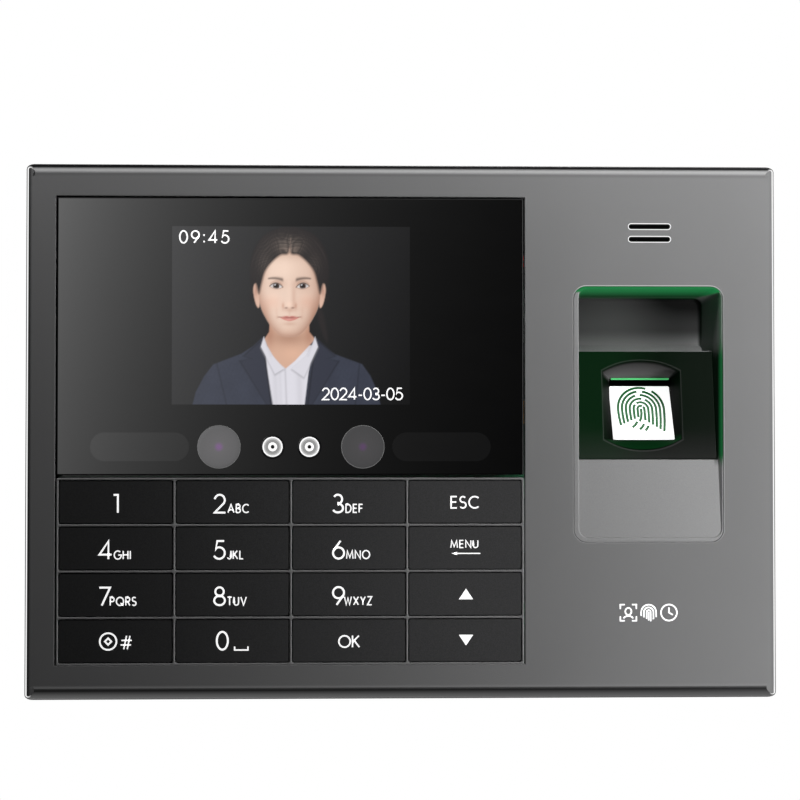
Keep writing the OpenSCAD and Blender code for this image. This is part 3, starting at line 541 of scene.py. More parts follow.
# each glyph: (width, strokes) on a cap height of 1; a stroke that ends where it starts is closed
GLYPHS = {
    "0": (0.62, [loop(0.31, 0.5, 0.31, 0.5)]),
    "1": (0.24, [[(0.0, 1), (0.24, 1), (0.24, 0)]]),
    "2": (0.62, [arc(0.3, 0.7, 0.28, 0.3, 170, -38) + [(0.02, 0), (0.62, 0)]]),
    "3": (0.58, [arc(0.27, 0.745, 0.24, 0.255, 150, -90, 14)
                 + arc(0.27, 0.245, 0.29, 0.245, 90, -155, 16)]),
    "4": (0.68, [[(0.5, 0), (0.5, 1), (0, 0.25), (0.68, 0.25)]]),
    "5": (0.6, [[(0.55, 1), (0.17, 1), (0.08, 0.53)] + arc(0.27, 0.325, 0.32, 0.325, 118, -152, 16)]),
    "6": (0.62, [[(0.42, 1), (0.06, 0.5)] + arc(0.31, 0.315, 0.31, 0.315, 150, 510, 26)]),
    "7": (0.6, [[(0, 1), (0.6, 1), (0.14, 0)]]),
    "8": (0.6, [loop(0.3, 0.76, 0.235, 0.24), loop(0.3, 0.26, 0.3, 0.26)]),
    "9": (0.62, [[(0.2, 0), (0.56, 0.5)] + arc(0.31, 0.685, 0.31, 0.315, -30, 330, 26)]),
    "A": (0.84, [[(0, 0), (0.42, 1), (0.84, 0)], [(0.16, 0.34), (0.68, 0.34)]]),
    "B": (0.58, [[(0, 0), (0, 1), (0.3, 1)] + arc(0.3, 0.76, 0.22, 0.24, 90, -90, 10) + [(0, 0.52)],
                 [(0.3, 0.52)] + arc(0.3, 0.26, 0.27, 0.26, 90, -90, 10) + [(0, 0)]]),
    "C": (0.86, [arc(0.5, 0.5, 0.5, 0.5, 48, 312, 22)]),
    "D": (0.72, [[(0, 0), (0, 1), (0.25, 1)] + arc(0.25, 0.5, 0.47, 0.5, 90, -90, 14) + [(0, 0)]]),
    "E": (0.5, [[(0.5, 1), (0, 1), (0, 0), (0.5, 0)], [(0, 0.52), (0.46, 0.52)]]),
    "F": (0.48, [[(0.48, 1), (0, 1), (0, 0)], [(0, 0.52), (0.44, 0.52)]]),
    "G": (0.94, [arc(0.5, 0.5, 0.5, 0.5, 48, 360, 24) + [(0.56, 0.5)]]),
    "H": (0.66, [[(0, 0), (0, 1)], [(0.66, 0), (0.66, 1)], [(0, 0.52), (0.66, 0.52)]]),
    "I": (0.02, [[(0.01, 0), (0.01, 1)]]),
    "J": (0.48, [[(0.48, 1), (0.48, 0.24)] + arc(0.24, 0.24, 0.24, 0.24, 0, -165, 12)]),
    "K": (0.6, [[(0, 0), (0, 1)], [(0.56, 1), (0, 0.45)], [(0.14, 0.59), (0.6, 0)]]),
    "L": (0.46, [[(0, 1), (0, 0), (0.46, 0)]]),
    "M": (0.9, [[(0, 0), (0.1, 1), (0.45, 0.12), (0.8, 1), (0.9, 0)]]),
    "N": (0.7, [[(0, 0), (0, 1), (0.7, 0), (0.7, 1)]]),
    "O": (1.0, [loop(0.5, 0.5, 0.5, 0.5)]),
    "P": (0.54, [[(0, 0), (0, 1), (0.28, 1)] + arc(0.28, 0.74, 0.26, 0.26, 90, -90, 10) + [(0, 0.48)]]),
    "Q": (1.0, [loop(0.5, 0.5, 0.5, 0.5), [(0.58, 0.3), (0.98, 0.0)]]),
    "R": (0.56, [[(0, 0), (0, 1), (0.28, 1)] + arc(0.28, 0.74, 0.26, 0.26, 90, -90, 10) + [(0, 0.48)],
                 [(0.26, 0.48), (0.56, 0)]]),
    "S": (0.54, [arc(0.27, 0.75, 0.24, 0.25, 35, 245, 14) + arc(0.27, 0.255, 0.27, 0.255, 65, -145, 14)]),
    "T": (0.6, [[(0, 1), (0.6, 1)], [(0.3, 1), (0.3, 0)]]),
    "U": (0.64, [[(0, 1), (0, 0.32)] + arc(0.32, 0.32, 0.32, 0.32, 180, 360, 14) + [(0.64, 1)]]),
    "V": (0.76, [[(0, 1), (0.38, 0), (0.76, 1)]]),
    "W": (0.98, [[(0, 1), (0.25, 0), (0.49, 0.88), (0.73, 0), (0.98, 1)]]),
    "X": (0.66, [[(0, 1), (0.66, 0)], [(0.66, 1), (0, 0)]]),
    "Y": (0.64, [[(0, 1), (0.32, 0.46), (0.64, 1)], [(0.32, 0.46), (0.32, 0)]]),
    "Z": (0.6, [[(0, 1), (0.6, 1), (0, 0), (0.6, 0)]]),
    "#": (0.84, [[(0.24, 0), (0.44, 1)], [(0.5, 0), (0.7, 1)], [(0.0, 0.32), (0.78, 0.32)],
                 [(0.06, 0.66), (0.84, 0.66)]]),
    ":": (0.1, [[(0.05, 0.04), (0.05, 0.18)], [(0.05, 0.58), (0.05, 0.72)]]),
    "-": (0.36, [[(0.02, 0.38), (0.34, 0.38)]]),
}


def text_width(text, height, gap):
    return sum(GLYPHS[c][0] * height for c in text) + gap * (len(text) - 1)


def text_strokes(text, x, z, height, gap, share=1.0):
    """Strokes of a word in millimetres, with its first letter's left side at x and baseline at z.

    share narrows each letter."""
    out = []
    for c in text:
        width, strokes = GLYPHS[c]
        out += [[(x + px * height * share, z + pz * height) for px, pz in stroke] for stroke in strokes]
        x += width * height * share + gap
    return out


def offset_sides(points, half, closed):
    """The two sides of a ribbon along a line of points, with mitred corners."""
    n = len(points)
    left, right = [], []
    for i, p in enumerate(points):
        before = points[i - 1] if i or closed else None
        after = points[(i + 1) % n] if i < n - 1 or closed else None
        normals = []
        for a, b in ((before, p), (p, after)):
            if a is None or b is None:
                continue
            dx, dz = b[0] - a[0], b[1] - a[1]
            size = math.hypot(dx, dz) or 1
            normals.append((-dz / size, dx / size))
        nx, nz = (sum(v[k] for v in normals) / len(normals) for k in (0, 1))
        size = math.hypot(nx, nz) or 1
        reach = half / max(size, 0.42)
        left.append((p[0] + nx / size * reach, p[1] + nz / size * reach))
        right.append((p[0] - nx / size * reach, p[1] - nz / size * reach))
    return left, right


def flat_place(y):
    """Maps a drawing's x, z and height above the surface into space, for a face at y."""
    return lambda x, z, up: (x, y - up, z)


def ribbon(bm, stroke, width, place, raise_by):
    closed = math.dist(stroke[0], stroke[-1]) < 1e-6 and len(stroke) > 3
    points = stroke[:-1] if closed else stroke
    left, right = offset_sides(points, width / 2, closed)
    rows = []
    for l, r in zip(left, right):
        rows.append([bm.verts.new(place(*l, 0)), bm.verts.new(place(*l, raise_by)),
                     bm.verts.new(place(*r, raise_by)), bm.verts.new(place(*r, 0))])
    count = len(rows)
    for i in range(count if closed else count - 1):
        a, b = rows[i], rows[(i + 1) % count]
        for k in range(4):
            bm.faces.new((a[k], a[(k + 1) % 4], b[(k + 1) % 4], b[k]))
    if not closed:
        bm.faces.new(rows[0])
        bm.faces.new(rows[-1])


def prism(bm, points, place, raise_by):
    """A raised flat polygon."""
    low = [bm.verts.new(place(x, z, 0)) for x, z in points]
    high = [bm.verts.new(place(x, z, raise_by)) for x, z in points]
    bm.faces.new(high)
    bm.faces.new(low)
    bridge(bm, low, high)


def drawing(name, strokes, width, place, body, material, polygons=(), raise_by=0.03, thin=()):
    """A piece made of ribbons and flat polygons. thin is (strokes, width) for a finer pen."""
    bm = bmesh.new()
    for stroke in strokes:
        ribbon(bm, stroke, width, place, raise_by)
    for stroke in (thin[0] if thin else ()):
        ribbon(bm, stroke, thin[1], place, raise_by)
    for polygon in polygons:
        prism(bm, polygon, place, raise_by)
    return add_piece(name, from_bmesh(name, bm), body, material)


# ---------------------------------------------------------------------------
# Casing
# ---------------------------------------------------------------------------


def casing_edge(outline, angle, radii):
    """One ring of the rounded front edge; the sides, the top and the bottom have their own radii."""
    side_r, top_r, low_r = radii
    out = []
    for x, z, n in outline.points():
        r = side_r * n[0] ** 2 + (top_r if n[1] > 0 else low_r) * n[1] ** 2
        pull = r * (1 - math.sin(angle))
        out.append((x - n[0] * pull, FRONT_Y + r * (1 - math.cos(angle)), z - n[1] * pull))
    return out


def well_outline(grow=0.0):
    """The finger well's lip as seen from the front."""
    lip_lo_x, lip_hi_x = 41.7, 78.2
    lip_lo_z, lip_hi_z = -26.9, 35.3
    return Outline((lip_lo_x + lip_hi_x) / 2, (lip_lo_z + lip_hi_z) / 2,
                   lip_hi_x - lip_lo_x + 2 * grow, lip_hi_z - lip_lo_z + 2 * grow, 3.1 + grow)


CORNER_R = 1.6
FRONT_RADII = (0.95, 2.7, 3.3)
FLAT_RIM = 0.6
SLOT_X, SLOT_Z, SLOT_PITCH = 60.3, 48.4, 3.1
SLOT_W, SLOT_H, SLOT_ROUND = 10.1, 1.15, 0.3

# on each side of the front: (distance in from the outline, share of the dark colour, brightness of the
# painted highlight); the dark colour stands for unpainted plastic and for painted shade along the edge
EDGE_BANDS = {
    "left": ((0, 1, 0), (0.28, 1, 0), (0.36, 1, 1), (0.6, 1, 1), (0.7, 1, 0), (0.95, 0.8, 0),
             (1.55, 0, 0)),
    "right": ((0, 1, 0), (0.28, 1, 0), (0.36, 1, 1), (0.6, 0.5, 0.9), (0.72, 0.2, 0), (0.95, 0.12, 0),
              (1.55, 0, 0)),
    "top": ((0, 1, 0), (0.95, 1, 0), (1.2, 0.6, 0.06), (1.5, 0.1, 0.19), (1.85, 0, 0.21), (2.2, 0, 0.1),
            (2.45, 0.1, 0.02), (2.7, 0.2, 0), (3.3, 0, 0)),
    "low": ((0, 1, 0), (0.32, 1, 0), (0.45, 1, 0.1), (1.3, 1, 0.085), (1.9, 1, 0.045), (2.6, 1, 0.003),
            (3.1, 0.6, 0.01), (3.3, 0.05, 0.04), (3.9, 0, 0)),
}


def edge_bands(n, turn):
    """Share of the dark colour (unpainted plastic, and painted shade along the edge) and brightness of the
    painted highlight on the front edge, where the outline's normal is n.
    """
    side_r, top_r, low_r = FRONT_RADII
    across = ("right" if n[0] > 0 else "left", side_r)
    upright = ("top", top_r) if n[1] > 0 else ("low", low_r)
    dark_share = highlight = 0.0
    for share, (side, r) in ((n[0] ** 2, across), (n[1] ** 2, upright)):
        inward = r * (1 - math.sin(turn))
        distance, dark_shares, highlights = zip(*EDGE_BANDS[side])
        dark_share += share * float(np.interp(inward, distance, dark_shares))
        highlight += share * float(np.interp(inward, distance, highlights))
    return dark_share, highlight


def lip_highlight(hole, n, window):
    """Painted highlight on the well's rounded lip, most at its top and right; none round the window."""
    if hole is window:
        return 0.0
    return 0.08 + 0.5 * max(0.0, n[1]) ** 2 + 0.22 * max(0.0, n[0]) ** 2


def front_casing(material):
    """Front shell: one skin outside, one inside, joined at the seam and round each opening."""
    edge_steps = 20
    bm = bmesh.new()
    dark = bm.verts.layers.float.new("dark")
    shine = bm.verts.layers.float.new("shine")
    outer = Outline(0, 0, 2 * HALF_W, 2 * HALF_H, CORNER_R)
    flat_rim = casing_edge(outer, 0, tuple(r + FLAT_RIM for r in FRONT_RADII))
    rings = [[bm.verts.new(p) for p in flat_rim]]
    for k in range(edge_steps + 1):
        turn = math.pi / 2 * k / edge_steps
        rings.append([bm.verts.new(p) for p in casing_edge(outer, turn, FRONT_RADII)])
        # each ring of the rounded edge takes its share of the dark colour, painted shade among it, and its
        # painted highlight
        for v, (_, _, n) in zip(rings[-1], outer.points()):
            v[dark], v[shine] = edge_bands(n, turn)
    seam_bevel = 0.18
    for inset, y in ((0, SEAM_Y - seam_bevel), (seam_bevel, SEAM_Y), (WALL, SEAM_Y), (WALL, WALL_BACK_Y)):
        rings.append(ring(bm, outer, inset, y))
        for v in rings[-1]:
            v[dark] = 1.0
    join(bm, rings)
    window = Outline((OPEN_LEFT + OPEN_RIGHT) / 2, (OPEN_LOW + OPEN_HIGH) / 2,
                     OPEN_RIGHT - OPEN_LEFT, OPEN_HIGH - OPEN_LOW, 0.12, 3)
    holes = [(window, 0.16), (well_outline(0.1), 0.22)]
    for side in (-0.5, 0.5):
        slot = Outline(SLOT_X, SLOT_Z + side * SLOT_PITCH, SLOT_W, SLOT_H, SLOT_H / 2)
        holes.append((slot, SLOT_ROUND))
    fronts, backs = [rings[0]], [rings[-1]]
    for hole, b in holes:
        hole_rings = rounded_rings(bm, hole, -b, FRONT_Y, 3)
        hole_rings.append(ring(bm, hole, 0, WALL_BACK_Y))
        is_slot = b == SLOT_ROUND
        # the slots' walls take the dark colour; the slots' edges and the well's lip get a painted highlight
        for row in hole_rings[2 if is_slot else -1:]:
            for v in row:
                v[dark] = 1.0
        for row, share in ((hole_rings[1], 1.0), (hole_rings[2], 0.5)):
            for v, (_, _, n) in zip(row, hole.points()):
                v[shine] = share * (1.1 if is_slot else lip_highlight(hole, n, window))
        join(bm, hole_rings)
        fronts.append(hole_rings[0])
        backs.append(hole_rings[-1])
    fill(bm, fronts)
    fill(bm, backs)
    piece = add_piece("casing_front", from_bmesh("casing_front", bm), TERMINAL, material, 28)
    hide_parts("front_casing")


# ---------------------------------------------------------------------------
# Window: lens, screen, cameras and lamps
# ---------------------------------------------------------------------------


def display_lens(material):
    outer = Outline(LENS_X, (lens_lo.z + lens_hi.z) / 2, lens_hi.x - lens_lo.x, lens_hi.z - lens_lo.z,
                    0.25, 4)
    piece = plate("lens", outer, [], LENS_Y, lens_hi.y, 0.28, TERMINAL, material, segments=4)
    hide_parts("display_lens")


def disc(name, x, z, radii_heights, body, material, steps=72):
    """A turned piece facing the viewer: (radius, height above the lens) from the rim to the middle."""
    bm = bmesh.new()
    largest = radii_heights[0][0]
    rings = []
    for r, up in radii_heights:
        rings.append([bm.verts.new((x + r * math.cos(a), LENS_Y - up, z + r * math.sin(a)))
                      for a in (2 * math.pi * i / steps for i in range(steps))])
    join(bm, rings)
    for end in (rings[0], rings[-1]):
        bm.faces.new(end)
    mesh = from_bmesh(name, bm)
    shares = mesh.attributes.new("radius", "FLOAT", "POINT")
    for i, v in enumerate(mesh.vertices):
        shares.data[i].value = math.hypot(v.co.x - x, v.co.z - z) / largest
    return add_piece(name, mesh, body, material, 60)


def lamp_window(side, cover, rim):
    x = LENS_X + side * 17.4
    outer_r = 5.25
    rows = [(outer_r, 0.0), (outer_r, 0.02)]
    rows += [(outer_r * share, 0.03) for share in (0.97, 0.8, 0.6, 0.45, 0.3, 0.2, 0.12, 0.05)]
    label = "left" if side < 0 else "right"
    disc(f"lamp_window_{label}", x, OPTICS_Z, rows, TERMINAL, cover)
    bm = bmesh.new()
    slab(bm, Outline(x, OPTICS_Z, 2 * outer_r, 2 * outer_r, outer_r, 18),
         [Outline(x, OPTICS_Z, 2 * outer_r - 0.3, 2 * outer_r - 0.3, outer_r - 0.15, 18)],
         LENS_Y - 0.07, LENS_Y, 0.03, segments=2)
    add_piece(f"lamp_rim_{label}", from_bmesh("rim", bm), TERMINAL, rim)


def ring_plate(name, x, z, outer_r, inner_r, up, material):
    bm = bmesh.new()
    slab(bm, Outline(x, z, 2 * outer_r, 2 * outer_r, outer_r, 14),
         [Outline(x, z, 2 * inner_r, 2 * inner_r, inner_r, 14)], LENS_Y - up, LENS_Y, 0.02, segments=2)
    return add_piece(name, from_bmesh(name, bm), TERMINAL, material)


def camera_window(side, white, band, black):
    """Printed rings, the barrel and the lens of one camera, seen through the window."""
    x = LENS_X + side * 4.45
    label = "left" if side < 0 else "right"
    ring_plate(f"camera_shade_{label}", x, OPTICS_Z, 2.9, 2.43, 0.03, black)
    ring_plate(f"camera_ring_{label}", x, OPTICS_Z, 2.43, 2.13, 0.05, white)
    band_rows = [(2.13, 0.0), (2.13, 0.03), (1.9, 0.04), (1.5, 0.04), (1.1, 0.04)]
    disc(f"camera_band_{label}", x, OPTICS_Z, band_rows, TERMINAL, band)
    ring_plate(f"camera_barrel_{label}", x, OPTICS_Z, 1.1, 0.48, 0.07, white)
    disc(f"camera_eye_{label}", x, OPTICS_Z, [(0.48, 0.0), (0.48, 0.03), (0.34, 0.055), (0.14, 0.065)],
         TERMINAL, black, 32)


def bar_window(side, material):
    x = LENS_X + side * 36.5
    label = "left" if side < 0 else "right"
    plate(f"ir_window_{label}", Outline(x, OPTICS_Z, 23.9, 7.0, 3.5, 14), [], LENS_Y - 0.02, LENS_Y,
          0.015, TERMINAL, material, segments=2)


# ---------------------------------------------------------------------------
# The picture on the screen
# ---------------------------------------------------------------------------


def srgb(r, g, b):
    """Linear colour of an 8-bit one."""
    return np.array([((c / 255 + 0.055) / 1.055) ** 2.4 if c > 10 else c / 3294 for c in (r, g, b)])


def smooth_loop(points, steps=6):
    """A closed curve through the points."""
    p = np.array(points, float)
    n = len(p)
    out = []
    for i in range(n):
        a, b, c, d = p[i - 1], p[i], p[(i + 1) % n], p[(i + 2) % n]
        for s in range(steps):
            t = s / steps
            out.append(0.5 * (2 * b + (c - a) * t + (2 * a - 5 * b + 4 * c - d) * t ** 2
                              + (3 * b - a - 3 * c + d) * t ** 3))
    return np.array(out)


def side_of(u, v, points):
    """Signed distance to a polygon, negative inside, in millimetres."""
    p = np.array(points, float)
    best = np.full(u.shape, 1e9)
    inside = np.zeros(u.shape, bool)
    for a, b in zip(p, np.roll(p, -1, 0)):
        e = b - a
        t = np.clip(((u - a[0]) * e[0] + (v - a[1]) * e[1]) / max(e @ e, 1e-9), 0, 1)
        best = np.minimum(best, np.hypot(u - a[0] - t * e[0], v - a[1] - t * e[1]))
        if a[1] != b[1]:
            cross = ((a[1] > v) != (b[1] > v)) & (u < a[0] + (v - a[1]) * e[0] / e[1])
            inside ^= cross
    return np.where(inside, -best, best)


def cover(distance, feather=0.18):
    return np.clip(0.5 - distance / feather, 0, 1)


def blob(u, v, cu, cv, a, b, power=1.0):
    """A soft spot, 1 in the middle and 0 far away."""
    return np.exp(-(((u - cu) / a) ** 2 + ((v - cv) / b) ** 2) * power)


def mirrored(points):
    return [(-x, y) for x, y in reversed(points)]


class Painter:
    """Paints soft-edged shapes on a grid of points; every colour is linear."""

    def __init__(self, u, v):
        self.u, self.v = u, v
        self.rgb = np.zeros((*u.shape, 3))

    def lay(self, mask, color):
        mask = mask[..., None]
        self.rgb = self.rgb * (1 - mask) + np.asarray(color) * mask

    def shape(self, points, color, feather=0.22, curved=True, strength=1.0):
        outline = smooth_loop(points) if curved else points
        mask = cover(side_of(self.u, self.v, outline), feather) * strength
        self.lay(mask, color)
        return mask

    def scale(self, mask, factor):
        self.rgb *= 1 + (np.asarray(factor) - 1) * mask[..., None]

    def spot(self, mask, cu, cv, a, b, factor, strength=1.0):
        """Scales the colour in a soft spot, within a mask."""
        self.scale(mask * blob(self.u, self.v, cu, cv, a, b) * strength, factor)


def grain(u, v, size, seed):
    """Smooth noise from -1 to 1 on the grid, made from a few seeded waves."""
    rng = np.random.default_rng(seed)
    total = np.zeros(u.shape)
    for _ in range(14):
        a = rng.uniform(0, 2 * math.pi)
        k = 2 * math.pi / (size * rng.uniform(0.6, 1.6))
        total += np.sin(k * (u * math.cos(a) + v * math.sin(a)) + rng.uniform(0, 6.3))
    return total / 14 * 1.9


# A standard head: eyes at half its height, face in equal thirds, five eye-widths across
HEAD_TOP, HAIR_TOP, CHIN = 19.2, 21.3, -5.2
HEAD_H = HEAD_TOP - CHIN
THIRD = HEAD_H / 3.5
EYE_V = CHIN + HEAD_H / 2
NOSE_V = CHIN + THIRD
BROW_V = CHIN + 2 * THIRD
HAIRLINE_V = CHIN + 3 * THIRD
MOUTH_V = NOSE_V - THIRD / 3
EYE_W = HEAD_H * 0.66 / 5
HALF_FACE = 2.42 * EYE_W
SKIN = srgb(236, 208, 190)
HAIR = srgb(34, 29, 29)


def paint_clothes(p):
    jacket = srgb(54, 58, 72)
    shirt = srgb(222, 220, 228)
    body = [(-6.6, -5.4), (-8.6, -7.3), (-11.6, -9.3), (-18.4, -11.9), (-20.6, -14.8), (-22.6, -18.6),
            (-24.0, -24.0), (22.6, -24.0), (21.4, -18.6), (19.6, -14.6), (17.6, -11.8), (11.0, -9.4),
            (8.0, -7.2), (6.0, -5.0)]
    p.shape(body, jacket, 0.25, False)
    weave = grain(p.u, p.v, 1.1, 3) * 0.06 + grain(p.u, p.v, 5.0, 4) * 0.09
    inside = cover(side_of(p.u, p.v, body), 0.3)
    p.scale(inside, (1 + weave[..., None] * np.ones(3)))
    for x0, lean in ((-17.6, 2.4), (17.0, -1.0)):
        seam = np.abs(p.u - (x0 + (-11.5 - p.v) * lean / 10)) - 0.1
        p.scale(cover(seam, 0.5) * inside * (p.v < -11.2), 0.55)
    front = [(-5.9, -7.6), (-5.4, -14), (-4.4, -24), (3.4, -24), (4.6, -14), (5.9, -7.2)]
    p.shape(front, shirt, 0.22, False)
    for x, width, depth in ((-0.9, 0.25, 0.8), (-3.4, 0.7, 0.9), (2.4, 0.8, 0.9), (-2.2, 0.4, 0.93)):
        fold = np.exp(-((p.u - x + (p.v + 16) * 0.04) / width) ** 2) * (p.v < -12.6)
        p.scale(fold * (np.abs(p.u + 0.4) < 4.4), depth)
    neck = srgb(214, 172, 148)
    p.shape([(-4.7, 0), (-4.9, -4.0), (-6.2, -6.0), (-3.2, -11.2), (-0.9, -12.9), (1.4, -11.0),
             (6.2, -5.8), (4.8, -4.0), (4.7, 0)], neck, 0.3, False)
    for s in (-1, 1):
        p.spot(p.v > -9, s * 4.9, -4.2, 1.2, 3.4, (0.78, 0.68, 0.65))
    p.spot(p.v > -13, -0.1, -5.4, 4.9, 1.9, (0.72, 0.66, 0.64))
    p.spot(1, 0.8, -9.2, 2.6, 1.8, (1.12, 1.1, 1.08), 0.8)
    # lapels, with their notches
    lapel = srgb(48, 51, 64)
    for s in (-1, 1):
        edge = [(6.7, -5.6), (11.3, -9.9), (9.3, -10.6), (12.2, -11.0), (4.1, -24), (3.6, -24)]
        p.shape([(s * x, y) for x, y in edge], lapel * 0.62, 0.5, False)
        inner = [(6.5, -6.0), (10.9, -9.9), (8.9, -10.5), (11.7, -11.2), (4.3, -23.4), (3.9, -23.4)]
        p.shape([(s * x, y) for x, y in inner], lapel, 0.25, False)
        line = side_of(p.u, p.v, [(s * 6.2, -5.7), (s * 4.1, -24), (s * 4.3, -24), (s * 6.5, -5.7)])
        p.scale(cover(line, 0.4), 0.45)
    # collar wings
    for s in (-1, 1):
        tip = -15.0 if s > 0 else -14.2
        wing = [(s * 6.2, -5.2), (s * 6.9, -7.6), (s * 3.5, tip), (s * 0.9 - 0.4, -12.9),
                (s * 4.2, -9.6), (s * 5.4, -7.4)]
        shadow = [(x, y - 0.3) for x, y in wing]
        p.shape(shadow, shirt * 0.45, 0.8, False, 0.8)
        p.shape(wing, shirt * 0.97, 0.22, False)
        crease = side_of(p.u, p.v, [(s * 6.2, -5.4), (s * 4.4, -9.9), (s * 4.6, -9.9), (s * 6.4, -5.4)])
        p.scale(cover(crease, 0.7) * 0.7, 0.82)


def paint_hair_back(p):
    half = [(3.6, HAIR_TOP - 0.5), (6.8, HAIR_TOP - 2.6), (8.9, 15.2), (9.5, 10.6), (9.1, 6.2), (8.0, 3.0)]
    p.shape([(0, HAIR_TOP)] + half + mirrored(half), HAIR * 0.8, 0.8)
    # tail of tied hair behind the neck
    tail = [(6.6, 4.0), (8.1, 0.5), (8.9, -3.0), (9.2, -6.4), (8.0, -4.4), (6.9, -0.5)]
    p.shape(tail, HAIR * 1.2, 0.8, True, 0.8)


def paint_face(p):
    u, v = p.u, p.v
    for s in (-1, 1):
        ear = [(s * (HALF_FACE - 0.5), EYE_V + 0.2), (s * (HALF_FACE + 0.6), EYE_V + 0.7),
               (s * (HALF_FACE + 0.95), EYE_V - 1.2), (s * (HALF_FACE + 0.3), NOSE_V + 0.9),
               (s * (HALF_FACE - 0.5), NOSE_V + 0.4)]
        p.shape(ear, SKIN * (0.86, 0.74, 0.7), 0.3)
        p.spot(1, s * (HALF_FACE + 0.35), EYE_V - 1.1, 0.45, 1.4, (0.75, 0.66, 0.64))
    half = [(0, HAIRLINE_V + 0.9), (3.2, HAIRLINE_V), (6.0, HAIRLINE_V - 2.6),
            (HALF_FACE - 0.5, BROW_V + 1.3), (HALF_FACE - 0.2, EYE_V - 0.6),
            (HALF_FACE - 0.8, NOSE_V + 0.5), (HALF_FACE - 2.1, MOUTH_V - 0.1),
            (HALF_FACE - 4.0, CHIN + 1.7), (1.7, CHIN + 0.2)]
    outline = half + mirrored(half[1:])
    face = p.shape(outline, SKIN, 0.3)
    # turning away at the sides and under the jaw, light from the upper left
    edge = side_of(u, v, smooth_loop(outline))
    turn = np.clip(1 + edge / 2.6, 0, 1) ** 1.8 * face
    p.scale(turn, (0.66, 0.53, 0.48))
    p.scale(face * np.clip((u + 1.0) / 9, 0, 1), (0.8, 0.73, 0.7))
    p.scale(face * np.clip((MOUTH_V + 1.0 - v) / 6, 0, 1), (0.9, 0.84, 0.81))
    for s in (-1, 1):
        p.spot(face, s * (HALF_FACE - 1.9), MOUTH_V + 1.6, 1.5, 3.2, (0.86, 0.77, 0.73), 0.8)
        p.spot(face, s * (HALF_FACE - 0.9), BROW_V + 2.2, 1.3, 3.0, (0.86, 0.78, 0.75), 0.8)
    p.spot(face, -1.2, HAIRLINE_V - 4.2, 4.4, 2.6, (1.09, 1.09, 1.08), 0.8)
    p.spot(face, 0, HAIRLINE_V - 0.6, 6.0, 1.6, (0.8, 0.74, 0.71), 0.8)
    for s in (-1, 1):
        p.spot(face, s * 4.1, NOSE_V + 1.4, 2.2, 1.7, (1.05, 0.93, 0.9), 0.75)
        p.spot(face, s * 3.9, NOSE_V + 3.0, 1.6, 0.9, (1.07, 1.06, 1.06), 0.6)
        p.spot(face, s * 2.1, EYE_V + 0.9, 1.3, 1.0, (0.88, 0.8, 0.77), 0.7)
        p.spot(face, s * EYE_W, EYE_V + 0.35, 2.2, 1.2, (0.9, 0.82, 0.79), 0.6)
    return face


def paint_eye(p, s):
    """An almond eye at rest, lid crease and lashes above it."""
    u, v = (p.u - s * EYE_W) * s, p.v - EYE_V
    half = EYE_W / 2 * 0.98
    t = np.clip(u / half, -1.15, 1.15)
    upper = 0.86 * (1 - t ** 2) + 0.1 * t
    lower = -0.52 * (1 - t ** 2) + 0.1 * t
    opening = np.clip((upper - v) / 0.16, 0, 1) * np.clip((v - lower) / 0.16, 0, 1) * (np.abs(t) < 1)
    p.lay(opening, srgb(226, 220, 218))
    p.scale(opening * np.clip((v + 0.2) / 1.0, 0, 1), (0.72, 0.7, 0.71))
    iris = np.hypot(p.u - s * EYE_W, v - 0.12)
    p.lay(opening * cover(iris - 0.78, 0.2), srgb(62, 42, 34))
    p.lay(opening * cover(iris - 0.36, 0.18), srgb(12, 9, 9))
    p.lay(opening * cover(np.hypot(p.u - s * EYE_W + 0.28, v - 0.42) - 0.15, 0.2), srgb(240, 240, 244))
    lash = np.exp(-(((v - upper - 0.03) / 0.17) ** 2)) * (np.abs(t) < 1.1)
    p.lay(np.clip(lash, 0, 1) * 0.92, srgb(36, 24, 22))
    under = np.exp(-(((v - lower + 0.03) / 0.13) ** 2)) * (np.abs(t) < 1.0)
    p.lay(under * 0.4, srgb(110, 74, 62))
    crease = np.exp(-(((v - upper - 0.48) / 0.16) ** 2)) * (np.abs(t) < 0.95)
    p.scale(crease * 0.6, (0.62, 0.52, 0.48))
    brow_u = (p.u * s - EYE_W - 0.15) / (half * 1.28)
    arch = BROW_V + 0.3 - 0.3 * (brow_u - 0.3) ** 2
    thick = 0.34 - 0.14 * np.clip(brow_u, -1, 1)
    brow = np.exp(-(((p.v - arch) / thick) ** 2)) * np.clip((1.02 - np.abs(brow_u)) / 0.2, 0, 1)
    p.lay(np.clip(brow, 0, 1) * 0.78, srgb(66, 50, 45))


